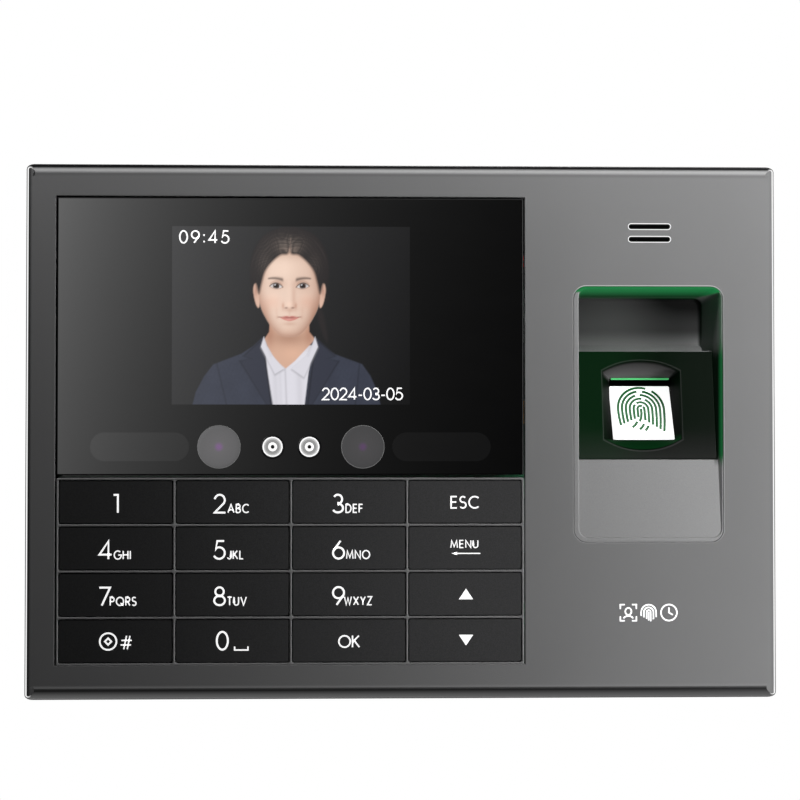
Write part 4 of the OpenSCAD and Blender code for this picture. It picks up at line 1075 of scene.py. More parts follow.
def paint_nose_and_mouth(p, face):
    u, v = p.u, p.v
    ridge = (v > NOSE_V) * (v < EYE_V + 1.5)
    p.scale(face * np.exp(-((u + 0.15) / 0.55) ** 2) * ridge * 0.7, (1.07, 1.06, 1.06))
    shadow = face * np.exp(-((u - 1.05) / 0.5) ** 2) * ridge * np.clip((EYE_V + 1.5 - v) / 3, 0, 1)
    p.scale(shadow * 0.8, (0.86, 0.78, 0.75))
    p.spot(face, 0, NOSE_V + 0.9, 0.9, 0.7, (1.1, 1.08, 1.07), 0.8)
    for s in (-1, 1):
        p.spot(face, s * 1.55, NOSE_V + 0.55, 0.34, 0.75, (0.8, 0.68, 0.64))
        p.lay(face * blob(u, v, s * 0.78, NOSE_V + 0.06, 0.42, 0.2) * 0.75, srgb(112, 66, 56))
    p.spot(face, 0.1, NOSE_V - 0.45, 1.5, 0.5, (0.84, 0.76, 0.73))
    p.spot(face, 0, (NOSE_V + MOUTH_V) / 2 - 0.1, 0.3, 0.8, (0.88, 0.82, 0.8), 0.6)
    half = 1.62 * EYE_W / 2 * 1.06
    t = np.clip(u / half, -1, 1)
    line = MOUTH_V + 0.24 * t ** 2 - 0.05 * np.exp(-((u / 0.5) ** 2))
    upper = 0.6 * (1 - np.abs(t) ** 1.5) - 0.14 * np.exp(-((u / 0.38) ** 2))
    lower = -0.9 * (1 - np.abs(t) ** 2.0)
    within = np.abs(u) < half
    top = np.clip((upper - (v - line)) / 0.2, 0, 1) * np.clip((v - line) / 0.12, 0, 1) * within
    low = np.clip(((v - line) - lower) / 0.24, 0, 1) * np.clip((line - v) / 0.1 + 0.5, 0, 1) * within
    p.lay(top * 0.82, srgb(188, 98, 92))
    p.lay(low * 0.82, srgb(206, 118, 110))
    p.lay(low * blob(u, v, -0.2, MOUTH_V - 0.38, 0.7, 0.18) * 0.55, srgb(234, 172, 164))
    seam = np.exp(-(((v - line + 0.02) / 0.085) ** 2)) * (np.abs(u) < half * 1.02)
    p.lay(seam * 0.75, srgb(120, 56, 52))
    for s in (-1, 1):
        p.spot(face, s * (half + 0.15), MOUTH_V + 0.12, 0.36, 0.4, (0.8, 0.7, 0.66), 0.6)
        fold = blob(u, v, s * (half + 0.35), (MOUTH_V + NOSE_V) / 2 + 0.2, 0.35, 1.3)
        p.scale(face * fold * 0.4, (0.88, 0.8, 0.77))
    p.spot(face, 0, MOUTH_V - 1.5, 1.5, 0.42, (0.84, 0.76, 0.73), 0.8)
    p.spot(face, -0.2, CHIN + 1.5, 1.5, 0.9, (1.07, 1.06, 1.05), 0.6)


def paint_hair_front(p):
    """Hair drawn back from a parting just off the middle, round the forehead and temples."""
    u, v = p.u, p.v
    half = [(0.1, HAIRLINE_V - 0.3), (2.2, HAIRLINE_V - 1.1), (4.3, HAIRLINE_V - 2.9),
            (5.9, BROW_V + 1.8), (HALF_FACE - 1.1, EYE_V + 0.8),
            (HALF_FACE - 0.4, EYE_V - 1.8), (HALF_FACE + 0.4, EYE_V + 0.6),
            (9.4, 9.8), (9.0, 14.2), (6.8, HAIR_TOP - 2.6), (3.4, HAIR_TOP - 0.5), (0, HAIR_TOP)]
    for s in (-1, 1):
        mask = cover(side_of(u, v, smooth_loop([(s * x, y) for x, y in half], 5)), 0.7)
        p.lay(mask, HAIR)
    hair = cover(side_of(u, v, smooth_loop(half + mirrored(half[1:-1]), 5)), 0.5)
    # strands run from the parting out and down, so they follow circles round each temple
    swirl = np.hypot(np.abs(u) * 1.05 - 1.5, (v - 10.4) * 0.86)
    along = swirl + grain(u, v, 6.0, 9) * 0.28
    strands = 0.5 + 0.5 * np.sin(along * 15) * np.sin(along * 6.3 + 1.1)
    fine = 0.5 + 0.5 * np.sin(along * 37 + grain(u, v, 2.2, 12) * 1.5)
    near_line = blob(u, v, -0.4, HAIRLINE_V + 1.4, 3.8, 2.1) + 0.45 * blob(u, v, -6.0, 13.0, 1.8, 3.0)
    near_line += 0.3 * blob(u, v, 6.0, 12.6, 1.6, 2.8)
    sheen = hair * near_line * (0.25 + 0.75 * strands) * (0.45 + 0.55 * fine)
    p.rgb += sheen[..., None] * np.array([0.15, 0.12, 0.10])
    root = blob(u, v, 0.1, HAIRLINE_V + 0.2, 2.0, 0.8) * hair * (0.3 + 0.7 * fine)
    p.rgb += root[..., None] * np.array([0.11, 0.08, 0.065])
    part = np.exp(-((u - 0.15 - 0.05 * (v - HAIRLINE_V)) / 0.16) ** 2)
    part = part * (v > HAIRLINE_V - 0.3) * (v < HAIR_TOP - 2.4)
    p.rgb += (part * hair)[..., None] * np.array([0.07, 0.05, 0.04])
    # a few loose hairs outside the outline
    rng = np.random.default_rng(21)
    for _ in range(16):
        side = rng.choice((-1, 1))
        lift = rng.uniform(0.1, 0.65)
        shell = np.hypot(u / 9.2, (v - 9.6) / 10.8) - 1 - lift * 0.06
        place = blob(u, v, side * rng.uniform(1.0, 8.5), rng.uniform(11.0, 20.5), 1.4, 2.0)
        loose = np.exp(-((shell * 9.5 / 0.09) ** 2)) * place
        p.rgb += loose[..., None] * np.array([0.012, 0.01, 0.009])


def screen_picture(u, v):
    """Colour of the lit screen at points given from its centre, in millimetres."""
    figure_left = 0.4
    p = Painter(u + figure_left, v)
    # the backdrop darkens to the right and lower down: a painted reflection of the gloss across the lens
    fall = np.clip(u / SCREEN_W + 0.5, 0, 1)
    p.rgb[:] = srgb(37, 37, 38)
    p.rgb *= (1.0 - 0.84 * fall + 0.24 * v / SCREEN_H)[..., None]
    p.scale(np.ones(u.shape), 1 + grain(u, v, 0.9, 5)[..., None] * 0.05)
    paint_hair_back(p)
    paint_clothes(p)
    face = paint_face(p)
    paint_nose_and_mouth(p, face)
    for s in (-1, 1):
        paint_eye(p, s)
    paint_hair_front(p)
    return np.clip(p.rgb, 0, 1)


def screen(material, white):
    """The screen's face: a fine grid that carries the picture, and the clock over it."""
    cell = 0.2
    columns, rows = round(SCREEN_W / cell), round(SCREEN_H / cell)
    us = np.linspace(-SCREEN_W / 2, SCREEN_W / 2, columns + 1)
    vs = np.linspace(-SCREEN_H / 2, SCREEN_H / 2, rows + 1)
    grid_u, grid_v = np.meshgrid(us, vs)
    y = LENS_Y - 0.02
    count = grid_u.size
    front = np.stack([grid_u.ravel() + LENS_X, np.full(count, y), grid_v.ravel() + SCREEN_Z], 1)
    index = np.arange(count).reshape(rows + 1, columns + 1)
    quads = np.stack([index[:-1, :-1], index[:-1, 1:], index[1:, 1:], index[1:, :-1]], -1).reshape(-1, 4)
    rim = np.concatenate([index[0, :], index[1:, -1], index[-1, -2::-1], index[-2:0:-1, 0]])
    back = front[rim].copy()
    back[:, 1] = LENS_Y
    n = len(rim)
    sides = [(int(rim[i]), count + i, count + (i + 1) % n, int(rim[(i + 1) % n])) for i in range(n)]
    faces = quads.tolist() + sides + [tuple(count + i for i in reversed(range(n)))]
    mesh = bpy.data.meshes.new("screen_face")
    mesh.from_pydata(np.concatenate([front, back]).tolist(), [], faces)
    picture = screen_picture(grid_u, grid_v).reshape(-1, 3)
    colors = np.ones((count + n, 4), np.float32)
    colors[:count, :3] = picture
    colors[count:, :3] = picture[rim]
    layer = mesh.color_attributes.new("picture", "FLOAT_COLOR", "POINT")
    layer.data.foreach_set("color", colors.ravel())
    add_piece("screen_face", mesh, TERMINAL, material, 30)
    place = flat_place(y)
    left, top = LENS_X - SCREEN_W / 2, SCREEN_Z + SCREEN_H / 2
    clock = text_strokes("09:45", left + 1.85, top - 4.05, 2.92, 1.05)
    date_height, date_gap = 2.75, 0.42
    width = text_width("2024-03-05", date_height, date_gap)
    date = text_strokes("2024-03-05", LENS_X + SCREEN_W / 2 - 1.8 - width, top - SCREEN_H + 1.2,
                        date_height, date_gap)
    drawing("screen_clock", clock, 0.37, place, TERMINAL, white, thin=(date, 0.34))


# ---------------------------------------------------------------------------
# Keypad
# ---------------------------------------------------------------------------

DIGIT_H, LETTER_H, LETTER_GAP, LETTER_SHARE = 4.3, 1.95, 0.55, 0.88
LETTER_START = {"key_7": 0.05, "key_9": 0.1}
LEGENDS = {
    "key_1": ("1", ""), "key_2": ("2", "ABC"), "key_3": ("3", "DEF"),
    "key_4": ("4", "GHI"), "key_5": ("5", "JKL"), "key_6": ("6", "MNO"),
    "key_7": ("7", "PQRS"), "key_8": ("8", "TUV"), "key_9": ("9", "WXYZ"),
}
COLUMN_START = (-3.9, -4.4, -3.85)


def key_centre(i):
    low, high = node_box(KEYS[i])
    return (low.x + high.x) / 2, (low.z + high.z) / 2, low.y


def key_lattice(material):
    cells = []
    for i in range(len(KEYS)):
        x, z, _ = key_centre(i)
        cells.append(Outline(x, z, KEY_PITCH_X - RIB_W, KEY_PITCH_Z - RIB_W, 0.5, 4))
    x = LENS_X
    outer = Outline(x, LATTICE_TOP - LATTICE_H / 2, LATTICE_W, LATTICE_H, 0.25, 3)
    piece = plate("key_frame", outer, cells, lattice_lo.y - 0.02, lattice_hi.y, 0.2, TERMINAL,
                  material, hole_bevel=0.2, segments=4)
    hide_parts("key_lattice")


def key_cap(i, material):
    x, z, y = key_centre(i)
    bm = bmesh.new()
    slab(bm, Outline(x, z, KEY_W, KEY_H, 0.5, 5), [], y, y + 2.2, 0.14, segments=3)
    stem = Outline(x, z, 4, 4, 2, 8)
    rings = [ring(bm, stem, 0, y + 2.2), ring(bm, stem, 0, y + 4.1)]
    bridge(bm, *rings)
    for end in rings:
        bm.faces.new(end)
    name = KEYS[i]
    piece = add_piece(f"{name}_top", from_bmesh(name, bm), f"{name}_cap", material, 30)
    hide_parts(name)


def digit_legend(name, i):
    digit, letters = LEGENDS[name]
    x, z, _ = key_centre(i)
    low = z - 2.55
    if not letters:
        return text_strokes(digit, x - 0.55, low, DIGIT_H, 0), []
    start = x + COLUMN_START[i % 4]
    big = text_strokes(digit, start, low, DIGIT_H, 0)
    small_start = start + GLYPHS[digit][0] * DIGIT_H + LETTER_START.get(name, 0.62)
    small = text_strokes(letters, small_start, low, LETTER_H, LETTER_GAP, LETTER_SHARE)
    return big, small


def ring_symbol(x, z):
    diamond = [(x, z + 0.78), (x - 0.78, z), (x, z - 0.78), (x + 0.78, z), (x, z + 0.78)]
    return [[(x + px, z + pz) for px, pz in loop(0, 0, 2.0, 2.0)], diamond]


def key_legend(i, white):
    name = KEYS[i]
    x, z, y = key_centre(i)
    place = flat_place(y)
    big, small, polygons = [], [], []
    if name in LEGENDS:
        big, small = digit_legend(name, i)
    elif name == "key_esc":
        big = text_strokes("ESC", x - 3.35, z - 1.5, 2.75, 0.75)
    elif name == "key_ok":
        big = text_strokes("OK", x + 0.05 - text_width("OK", 2.75, 0.55) / 2, z - 1.6, 2.75, 0.55)
    elif name == "key_menu":
        small = text_strokes("MENU", x - 3.4, z + 0.05, 1.75, 0.58)
        small.append([(x - 2.6, z - 1.35), (x + 3.75, z - 1.35)])
        polygons = [[(x - 3.3, z - 1.35), (x - 1.9, z - 0.95), (x - 1.9, z - 1.75)]]
    elif name in ("key_up", "key_down"):
        tip, half_w, middle = (1.3 if name == "key_up" else -1.3), 1.75, x + 0.25
        polygons = [[(middle - half_w, z - tip), (middle + half_w, z - tip), (middle, z + tip)]]
    elif name == "key_power_hash":
        big = ring_symbol(x - 1.75, z - 0.05)
        small = text_strokes("#", x + 1.25, z - 1.9, 3.2, 0)
    elif name == "key_0":
        big = text_strokes("0", x - 3.75, z - 2.1, DIGIT_H, 0)
        small = [[(x + 0.55, z - 1.35), (x + 0.55, z - 2.2), (x + 3.75, z - 2.2), (x + 3.75, z - 1.35)]]
    pens = {"key_esc": 0.36, "key_ok": 0.36, "key_power_hash": 0.4}
    thin_pens = {"key_menu": 0.27, "key_power_hash": 0.32, "key_0": 0.34}
    drawing(f"{name}_legend", big, pens.get(name, 0.46), place, f"{name}_cap", white,
            polygons, thin=(small, thin_pens.get(name, 0.3)))


# ---------------------------------------------------------------------------
# Finger well and sensor
# ---------------------------------------------------------------------------

WELL_X, WELL_Z, WELL_W, WELL_H, WELL_D = 60.4, 4.55, 34.8, 60.7, 20.0
WELL_DRAFT = math.radians(2.5)
WELL_TOP = (WELL_Z + WELL_H / 2) * MM
WELL_RIGHT = (WELL_X + WELL_W / 2) * MM
FACE_LOW, FACE_TOP = (3.6, -6.9), (8.4, 19.7)
GLASS_X = (glass_lo.x + glass_hi.x) / 2
GLASS_W = glass_hi.x - glass_lo.x
GLASS_LOW = (6.8, -1.9)
GLASS_TILT = math.radians(30)
GLASS_LEN = 15.4
HOLLOW_X, HOLLOW_HALF = 59.4, 9.6
HOOD_Z, HOOD_RISE = 14.9, 2.6
HOOD_BACK = (13.4, 13.3)
SCOOP_Z, SCOOP_DROP = -1.8, 2.8


def face_depth(z):
    share = (z - FACE_LOW[1]) / (FACE_TOP[1] - FACE_LOW[1])
    return FACE_LOW[0] + share * (FACE_TOP[0] - FACE_LOW[0])


def glass_depth(z):
    return GLASS_LOW[0] + (z - GLASS_LOW[1]) * math.tan(GLASS_TILT)


def hollow_outline(grow):
    """The hollow's rim, from its upper left corner clockwise: arch, right side, bowl, left side."""
    across, along = 22, 12
    half = HOLLOW_HALF + grow
    points = []
    for k in range(across):
        t = -1 + 2 * k / across
        points.append((HOLLOW_X + half * t, HOOD_Z + grow + HOOD_RISE * (1 - abs(t) ** 2.2), "hood"))
    for k in range(along):
        share = k / along
        points.append((HOLLOW_X + half, HOOD_Z + grow + share * (SCOOP_Z - HOOD_Z - 2 * grow), "right"))
    for k in range(across):
        t = 1 - 2 * k / across
        points.append((HOLLOW_X + half * t, SCOOP_Z - grow - SCOOP_DROP * (1 - abs(t) ** 2.2), "bowl"))
    for k in range(along):
        share = k / along
        points.append((HOLLOW_X - half, SCOOP_Z - grow + share * (HOOD_Z - SCOOP_Z + 2 * grow), "left"))
    return points


def throat_outline(inset):
    """The opening round the glass, point for point with the hollow's rim: (x, depth, z)."""
    x0, x1 = GLASS_X - GLASS_W / 2 - 0.15 + inset, GLASS_X + GLASS_W / 2 + 0.15 - inset
    low = GLASS_LOW[1] - 0.12 + inset
    high = HOOD_BACK[1] - inset
    out = []
    for x, z, part in hollow_outline(0):
        t = (x - HOLLOW_X) / HOLLOW_HALF
        share = (z - SCOOP_Z) / (HOOD_Z - SCOOP_Z)
        px = {"hood": (x0 + x1) / 2 + t * (x1 - x0) / 2, "bowl": (x0 + x1) / 2 + t * (x1 - x0) / 2,
              "right": x1, "left": x0}[part]
        pz = {"hood": high, "bowl": low}.get(part, low + share * (high - low))
        deep = HOOD_BACK[0] if part == "hood" else min(HOOD_BACK[0], glass_depth(pz) + 0.45)
        out.append((px, deep, pz))
    return out


def sensor_bezel(material):
    """The black scanner unit: a sloping face with a hood, a bowl and side walls down to the glass."""
    bm = bmesh.new()
    light = bm.verts.layers.float_color.new("light")
    x0, x1, z0, z1 = bezel_lo.x, bezel_hi.x, bezel_lo.z, bezel_hi.z

    def add(points, paint):
        """A ring of (x, depth, z), painted by (x, z) with its pale, green and unlit shares."""
        verts = []
        for x, depth, z in points:
            verts.append(bm.verts.new((x, FRONT_Y + depth, z)))
            verts[-1][light] = (*paint(x, z), 1)
        return verts

    def ease(value, start, end):
        return min(1.0, max(0.0, (value - start) / (end - start)))

    # painted light on the face: a green glow of the scanner's light, strongest on the left and weakest low
    # down, and a paleness growing towards the bottom and a little to the right
    def face_paint(x, z):
        left, top = ease(x, GLASS_X + 3, GLASS_X - 8), ease(z, 8, 17)
        right, low = ease(x, GLASS_X + 5, GLASS_X + 11), ease(z, 1, -6.5)
        green = 0.075 + 0.195 * left + 0.02 * top * (1 - right) - 0.075 * low
        return (0.07 * low + 0.012 * right * (1 - low), max(0.03, min(0.27, green)), 0)

    # the lip is a little paler than the face: painted highlight
    def lip_paint(x, z):
        pale, green, unlit = face_paint(x, z)
        return (pale + 0.1, green, unlit)

    def shade_paint(x, z):
        return (0, 0.4 * face_paint(x, z)[1], 0.9)

    def unlit_paint(x, z):
        return (0, 0, 1)

    def flat(points, grow=0.0):
        return [(x, face_depth(z) + grow, z) for x, z in points]

    # outer rim, with a small chamfer
    def rectangle(inset, grow):
        left, right, high, low = x0 + inset, x1 - inset, z1 - inset, z0 + inset
        ends = ((left, high), (right, high), (right, low), (left, low))
        points = []
        for (ax, az), (bx, bz) in zip(ends, ends[1:] + ends[:1]):
            points += [(ax + (bx - ax) * k / 8, az + (bz - az) * k / 8) for k in range(8)]
        return flat(points, grow)

    back = add([(x, bezel_hi.y - FRONT_Y, z) for x, _, z in rectangle(0, 0)], unlit_paint)
    rim = add(rectangle(0, 0.25), face_paint)
    brow = add(rectangle(0.2, 0), face_paint)
    join(bm, (back, rim, brow))
    bm.faces.new(back)
    # rim of the hollow, rounded over
    hollow = hollow_outline(0)
    lips = []
    for grow, sink, paint in ((0.42, 0.0, face_paint), (0.28, 0.0, lip_paint), (0.16, 0.03, lip_paint),
                              (0.05, 0.14, face_paint), (0.0, 0.36, shade_paint)):
        points = [(x, z) for x, z, _ in hollow_outline(grow)]
        lips.append(add(flat(points, sink), paint))
    fill(bm, [brow, lips[0]])
    join(bm, lips)

    # walls from the rim down to the glass
    throat = throat_outline(0)
    previous = lips[-1]
    steps = 6
    for k in range(1, steps + 1):
        share = k / steps
        # painted light and shade down the walls: the hood grows paler towards the glass, the bowl glows
        # green, and the side walls go unlit, painted shade
        paints = {"hood": (0.13 + 0.5 * share, 0.0, 0.0), "bowl": (0.0, 0.5 - 0.2 * share, 0.9),
                  "left": (0.0, 0.12 * (1 - share), 1.0),
                  "right": (0.01 * (1 - share), 0.03 * (1 - share), 0.85 + 0.15 * share)}
        ring_k = []
        for (x, z, part), (tx, td, tz) in zip(hollow, throat):
            start = face_depth(z) + 0.36
            y = FRONT_Y + start + (td - start) * share
            v = bm.verts.new((x + (tx - x) * share, y, z + (tz - z) * share))
            v[light] = (*paints[part], 1)
            ring_k.append(v)
        bridge(bm, previous, ring_k)
        previous = ring_k
    for sink, inset in ((0.3, 0.06), (3.4, 0.06)):
        deep = add([(x, depth + sink, z) for x, depth, z in throat_outline(inset)], unlit_paint)
        bridge(bm, previous, deep)
        previous = deep
    bm.faces.new(previous)
    piece = add_piece("sensor_unit", from_bmesh("sensor_unit", bm), TERMINAL, material, 32)
    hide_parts("sensor_bezel")


def glass_place(x, s, up):
    """Maps a drawing on the tilted glass: x across, s up its slope from its lower edge."""
    depth = GLASS_LOW[0] + s * math.sin(GLASS_TILT) - up * math.cos(GLASS_TILT)
    z = GLASS_LOW[1] + s * math.cos(GLASS_TILT) + up * math.sin(GLASS_TILT)
    return (x, FRONT_Y + depth, z)


def fingerprint_strokes(cx, cs):
    """A generic print: nested arches over a core, each with its own breaks."""
    out = []
    for k in range(6):
        r = 0.85 + 0.98 * k
        left_leg, right_leg = 2.4 + 0.45 * k, 3.3 + 0.62 * k
        left = [(cx - r + 0.08 * k * t * t, cs - left_leg * t) for t in (1, 0.75, 0.5, 0.25)]
        right = [(cx + r - 0.1 * k * t * t, cs - right_leg * t) for t in (0.25, 0.5, 0.75, 1)]
        line = left + arc(cx, cs, r, r * 1.08, 180, 0, 22) + right
        cut = 9 + 2 * k if k % 2 else 20 - k
        out.append(line[:cut - 1])
        out.append(line[cut:])
    out.append([(cx, cs + 0.1), (cx + 0.02, cs - 1.2), (cx - 0.15, cs - 2.4), (cx - 0.6, cs - 3.6)])
    out.append([(cx - 1.2, cs - 3.6), (cx - 1.8, cs - 4.6), (cx - 2.6, cs - 5.3)])
    out.append([(cx + 0.4, cs - 4.3), (cx - 0.1, cs - 5.2), (cx - 0.8, cs - 5.9)])
    out.append([(cx + 1.5, cs - 4.8), (cx + 1.1, cs - 5.6), (cx + 0.6, cs - 6.2)])
    return [s for s in out if len(s) > 1]


def sensor_glass(lit, green):
    """The lit platen, with rounded edges, and the ridges of a print seen in it."""
    bm = bmesh.new()
    half_w, half_l, thick, b = GLASS_W / 2, GLASS_LEN / 2, 3.0, 0.18
    outline = Outline(GLASS_X, half_l, 2 * half_w, 2 * half_l, 0.3, 4)
    rings = []
    for inset, up in ((b, 0), (b * 0.3, -b * 0.3), (0, -b), (0, -thick)):
        rings.append([bm.verts.new(glass_place(x, s, up)) for x, s, _ in outline.points(inset)])
    join(bm, rings)
    bm.faces.new(rings[0])
    bm.faces.new(rings[-1])
    piece = add_piece("platen", from_bmesh("platen", bm), TERMINAL, lit)
    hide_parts("sensor_glass")
    strokes = fingerprint_strokes(GLASS_X - 0.1, GLASS_LEN * 0.56)
    drawing("platen_ridges", strokes, 0.62, glass_place, TERMINAL, green, raise_by=0.06)


def light_edge(green):
    """The lit lower edge of the hood, just above the glass."""
    depth, z = HOOD_BACK
    bm = bmesh.new()
    slab(bm, Outline(GLASS_X, z - 0.12, GLASS_W - 0.5, 0.42, 0.2, 5), [], FRONT_Y + depth - 0.42,
         FRONT_Y + depth + 0.4, 0.08, segments=2)
    add_piece("light_lip", from_bmesh("light_lip", bm), TERMINAL, green)


def finger_well(material):
    """The well's tub: a lip, walls with draft, a back wall and the ramp below the sensor."""
    bm = bmesh.new()
    lip = well_outline()
    lip_y = well_lo.y
    mouth = Outline(WELL_X, WELL_Z, WELL_W, WELL_H, 2.2)
    shrink = WELL_D * math.tan(WELL_DRAFT)
    end = Outline(WELL_X, WELL_Z, WELL_W - 2 * shrink, WELL_H - 2 * shrink, 2.2)
    floor_r = 1.0
    outer_back = ring(bm, lip, 0, well_hi.y)
    rings = [outer_back, ring(bm, lip, 0, lip_y + 0.12), ring(bm, lip, 0.12, lip_y)]
    rings += rounded_rings(bm, mouth, -0.3, lip_y, 4)
    rings.append(ring(bm, end, -0.02, FRONT_Y + WELL_D - floor_r))
    for k in range(1, 6):
        a = math.pi / 2 * k / 5
        y = FRONT_Y + WELL_D - floor_r * (1 - math.sin(a))
        rings.append(ring(bm, end, floor_r * (1 - math.cos(a)), y))
    join(bm, rings)
    bm.faces.new(rings[-1])
    bm.faces.new(outer_back)
    depth, z = FACE_LOW
    ramp = [(0.85, -25.72), (depth - 0.1, z - 0.3), (depth + 0.05, z - 0.08), (depth + 0.4, z),
            (19.5, z), (19.5, -25.2)]
    depth, z = FACE_TOP
    ledge = [(depth + 1.2, z + 0.17), (depth + 1.2, z + 0.4), (WELL_D - 2.2, z + 0.4),
             (WELL_D + 0.1, z + 2.4), (WELL_D + 0.1, z + 0.17)]
    grow = 0.25
    for outline in (ramp, ledge):
        rows = []
        for side in (-1, 1):
            row = []
            for depth, z in outline:
                x = WELL_X + side * (WELL_W / 2 - depth * math.tan(WELL_DRAFT) + grow)
                row.append(bm.verts.new((x, FRONT_Y + depth, z)))
            rows.append(row)
        bridge(bm, rows[0], rows[1])
        for row in rows:
            bm.faces.new(row)
    piece = add_piece("well_tub", from_bmesh("well_tub", bm), TERMINAL, material, 28)
    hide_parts("finger_well")


def panel_icons(white):
    """Small generic pictograms under the well: a face in a frame, a print, and a clock."""
    y = FRONT_Y
    z, size = -44.0, 4.95
    half = 1.95
    x = 59.8 - 1.5 * size
    strokes = []
    for sx in (-1, 1):
        for sz in (-1, 1):
            cx, cz = x + size / 2, z
            strokes.append([(cx + sx * half, cz + sz * half * 0.45), (cx + sx * half, cz + sz * half),
                            (cx + sx * half * 0.45, cz + sz * half)])
    strokes.append([(x + size / 2 + px, z + 0.3 + pz) for px, pz in loop(0, 0, 0.75, 0.85)])
    strokes.append([(x + size / 2 + px, z - 1.6 + pz) for px, pz in arc(0, 0, 1.2, 0.8, 165, 15)])
    middle = x + 1.5 * size
    for k in range(3):
        r = 0.5 + 0.66 * k
        strokes.append([(middle - r, z - 1.5 + 0.35 * k), (middle - r, z + 0.1)]
                       + [(middle + px, z + 0.1 + pz) for px, pz in arc(0, 0, r, r, 175, 5)]
                       + [(middle + r, z + 0.1), (middle + r, z - 2.1 + 0.5 * k)])
    strokes.append([(middle, z + 0.15), (middle, z - 1.9)])
    clock = x + 2.5 * size
    strokes.append([(clock + px, z + pz) for px, pz in loop(0, 0, half, half)])
    strokes.append([(clock, z + 1.25), (clock, z), (clock + 0.95, z - 0.55)])
    drawing("panel_icons", strokes, 0.34, flat_place(y), TERMINAL, white)


# ---------------------------------------------------------------------------
# CAD parts that stay: back, bracket, connectors and everything inside
# ---------------------------------------------------------------------------


def solder_mask():
    """Green solder mask with paler copper tracks under it."""
    m = Nodes("solder_mask")
    fine = m.noise(2400, 2, 0.5)
    tracks = m.spread(m.noise(260, 0, 0.5, (1, 1, 7)), 0.52, 0.56, 0, 1, True)
    mask = m.ramp(fine, 0.3, 0.7, (0.010, 0.075, 0.032), (0.014, 0.095, 0.042))
    m.link(m.mix(m.math("MULTIPLY", tracks, 0.6), mask, (0.03, 0.17, 0.075)), "Base Color")
    m.link(m.spread(fine, 0.3, 0.7, 0.26, 0.36), "Roughness")
    m.set(Coat_Weight=0.3, Coat_Roughness=0.15)
    m.bump(tracks, 0.2, 0.00004)
    return m.material


def dress_all(rear_plastic):
    """Gives every CAD part that stays its own finish."""
    zinc = brushed("zinc_plate", (0.62, 0.63, 0.64), 0.34)
    black_zinc = brushed("black_zinc", (0.13, 0.13, 0.135), 0.38)
    nickel = brushed("nickel", (0.7, 0.69, 0.66), 0.2)
    rubber = grained("black_rubber", (0.022, 0.022, 0.023), 0.75, grain=1800, bump=0.4)
    board = solder_mask()
    flex = grained("flex_film", (0.5, 0.24, 0.05), 0.28, grain=1500, coat=0.2)
    epoxy = grained("black_epoxy", (0.024, 0.024, 0.025), 0.5, grain=4200, bump=0.3)
    white = grained("white_plastic", (0.7, 0.7, 0.71), 0.4, grain=4200)
    lamp = grained("lamp_plastic", (0.2, 0.19, 0.2), 0.3, grain=3600)
    smoke = grained("smoke_epoxy", (0.03, 0.028, 0.034), 0.2, grain=2600, coat=0.3)
    label = grained("label_film", (0.68, 0.68, 0.67), 0.48, grain=2200, contrast=0.04, bump=0.05)
    wire = grained("wire_insulation", (0.42, 0.02, 0.018), 0.42, grain=2600)
    panel = polished("panel_glass", (0.012, 0.012, 0.014), 0.08)
    diode = glowing("green_diode", (0.3, 0.95, 0.45), 0.6)
    cloth = grained("speaker_cloth", (0.002, 0.002, 0.002), 0.9, grain=2600, specular=0.03)
    finishes = (
        (rear_plastic, 0.35, "rear_shell"),
        (zinc, 0.12, "wall_plate"),
        (black_zinc, 0.14, "plate_lock_screw casing_screws"),
        (label, 0, "rating_label"),
        (epoxy, 0.12, "dc_jack"),
        (nickel, 0.08, "usb_port"),
        (rubber, 0, "display_gasket keypad_mat"),
        (panel, 0, "display_panel"),
        (flex, 0, "display_ribbon keypad_ribbon sensor_ribbon"),
        (board, 0, "face_board keypad_board sensor_board main_board"),
        (white, 0, "camera_module_left camera_module_right"),
        (lamp, 0, "lamp_left lamp_right"),
        (smoke, 0, "ir_led_bar_left ir_led_bar_right"),
        (cloth, 0, "speaker_gasket speaker"),
        (wire, 0, "speaker_lead"),
        (diode, 0, "sensor_leds"),
        (epoxy, 0, "sensor_camera board_chips cell_holder"),
        (nickel, 0, "snap_domes board_screws clock_cell"),
    )
    for material, bevel, names in finishes:
        for name in names.split():
            dress_node(name, material, bevel)


def label_print():
    """Generic print on the rating label: a box, ruled lines and a row of bars, with no words."""
    low, high = node_box("rating_label")
    ink = grained("label_ink", (0.02, 0.02, 0.021), 0.5, grain=2600)

    def place(x, z, up):
        return (x, high.y + up, z)

    x0, x1, middle = low.x + 2, high.x - 2, (low.z + high.z) / 2
    lines = [[(x0 + 14, middle + dz), (x0 + 14 + reach, middle + dz)]
             for dz, reach in ((2.2, 20), (0.8, 26), (-0.6, 17), (-2.0, 23))]
    box = [(x0, middle - 2.6), (x0 + 10, middle - 2.6), (x0 + 10, middle + 2.6), (x0, middle + 2.6),
           (x0, middle - 2.6)]
    bars = []
    x = x1
    for k in range(16):
        x -= 0.5 + 0.22 * ((k * 5) % 4)
        bars.append([(x, middle - 2.4), (x, middle + 2.4)])
    drawing("label_print", lines + [box], 0.45, place, TERMINAL, ink, thin=(bars, 0.3))


# ---------------------------------------------------------------------------
# Stage
# ---------------------------------------------------------------------------


def link_aimed(name, data, place, target):
    """Puts a camera or a lamp in the scene, aimed at a point."""
    thing = bpy.data.objects.new(name, data)
    thing.location = place
    thing.rotation_euler = (Vector(target) - Vector(place)).to_track_quat("-Z", "Y").to_euler()
    bpy.context.scene.collection.objects.link(thing)
    return thing


def camera():
    data = bpy.data.cameras.new("camera")
    data.lens = 74.28
    data.sensor_width = 36
    eye = (-0.0114, -0.436, -0.0003)
    target = (-0.0006, -0.036, 0.0076)
    bpy.context.scene.camera = link_aimed("camera", data, eye, target)


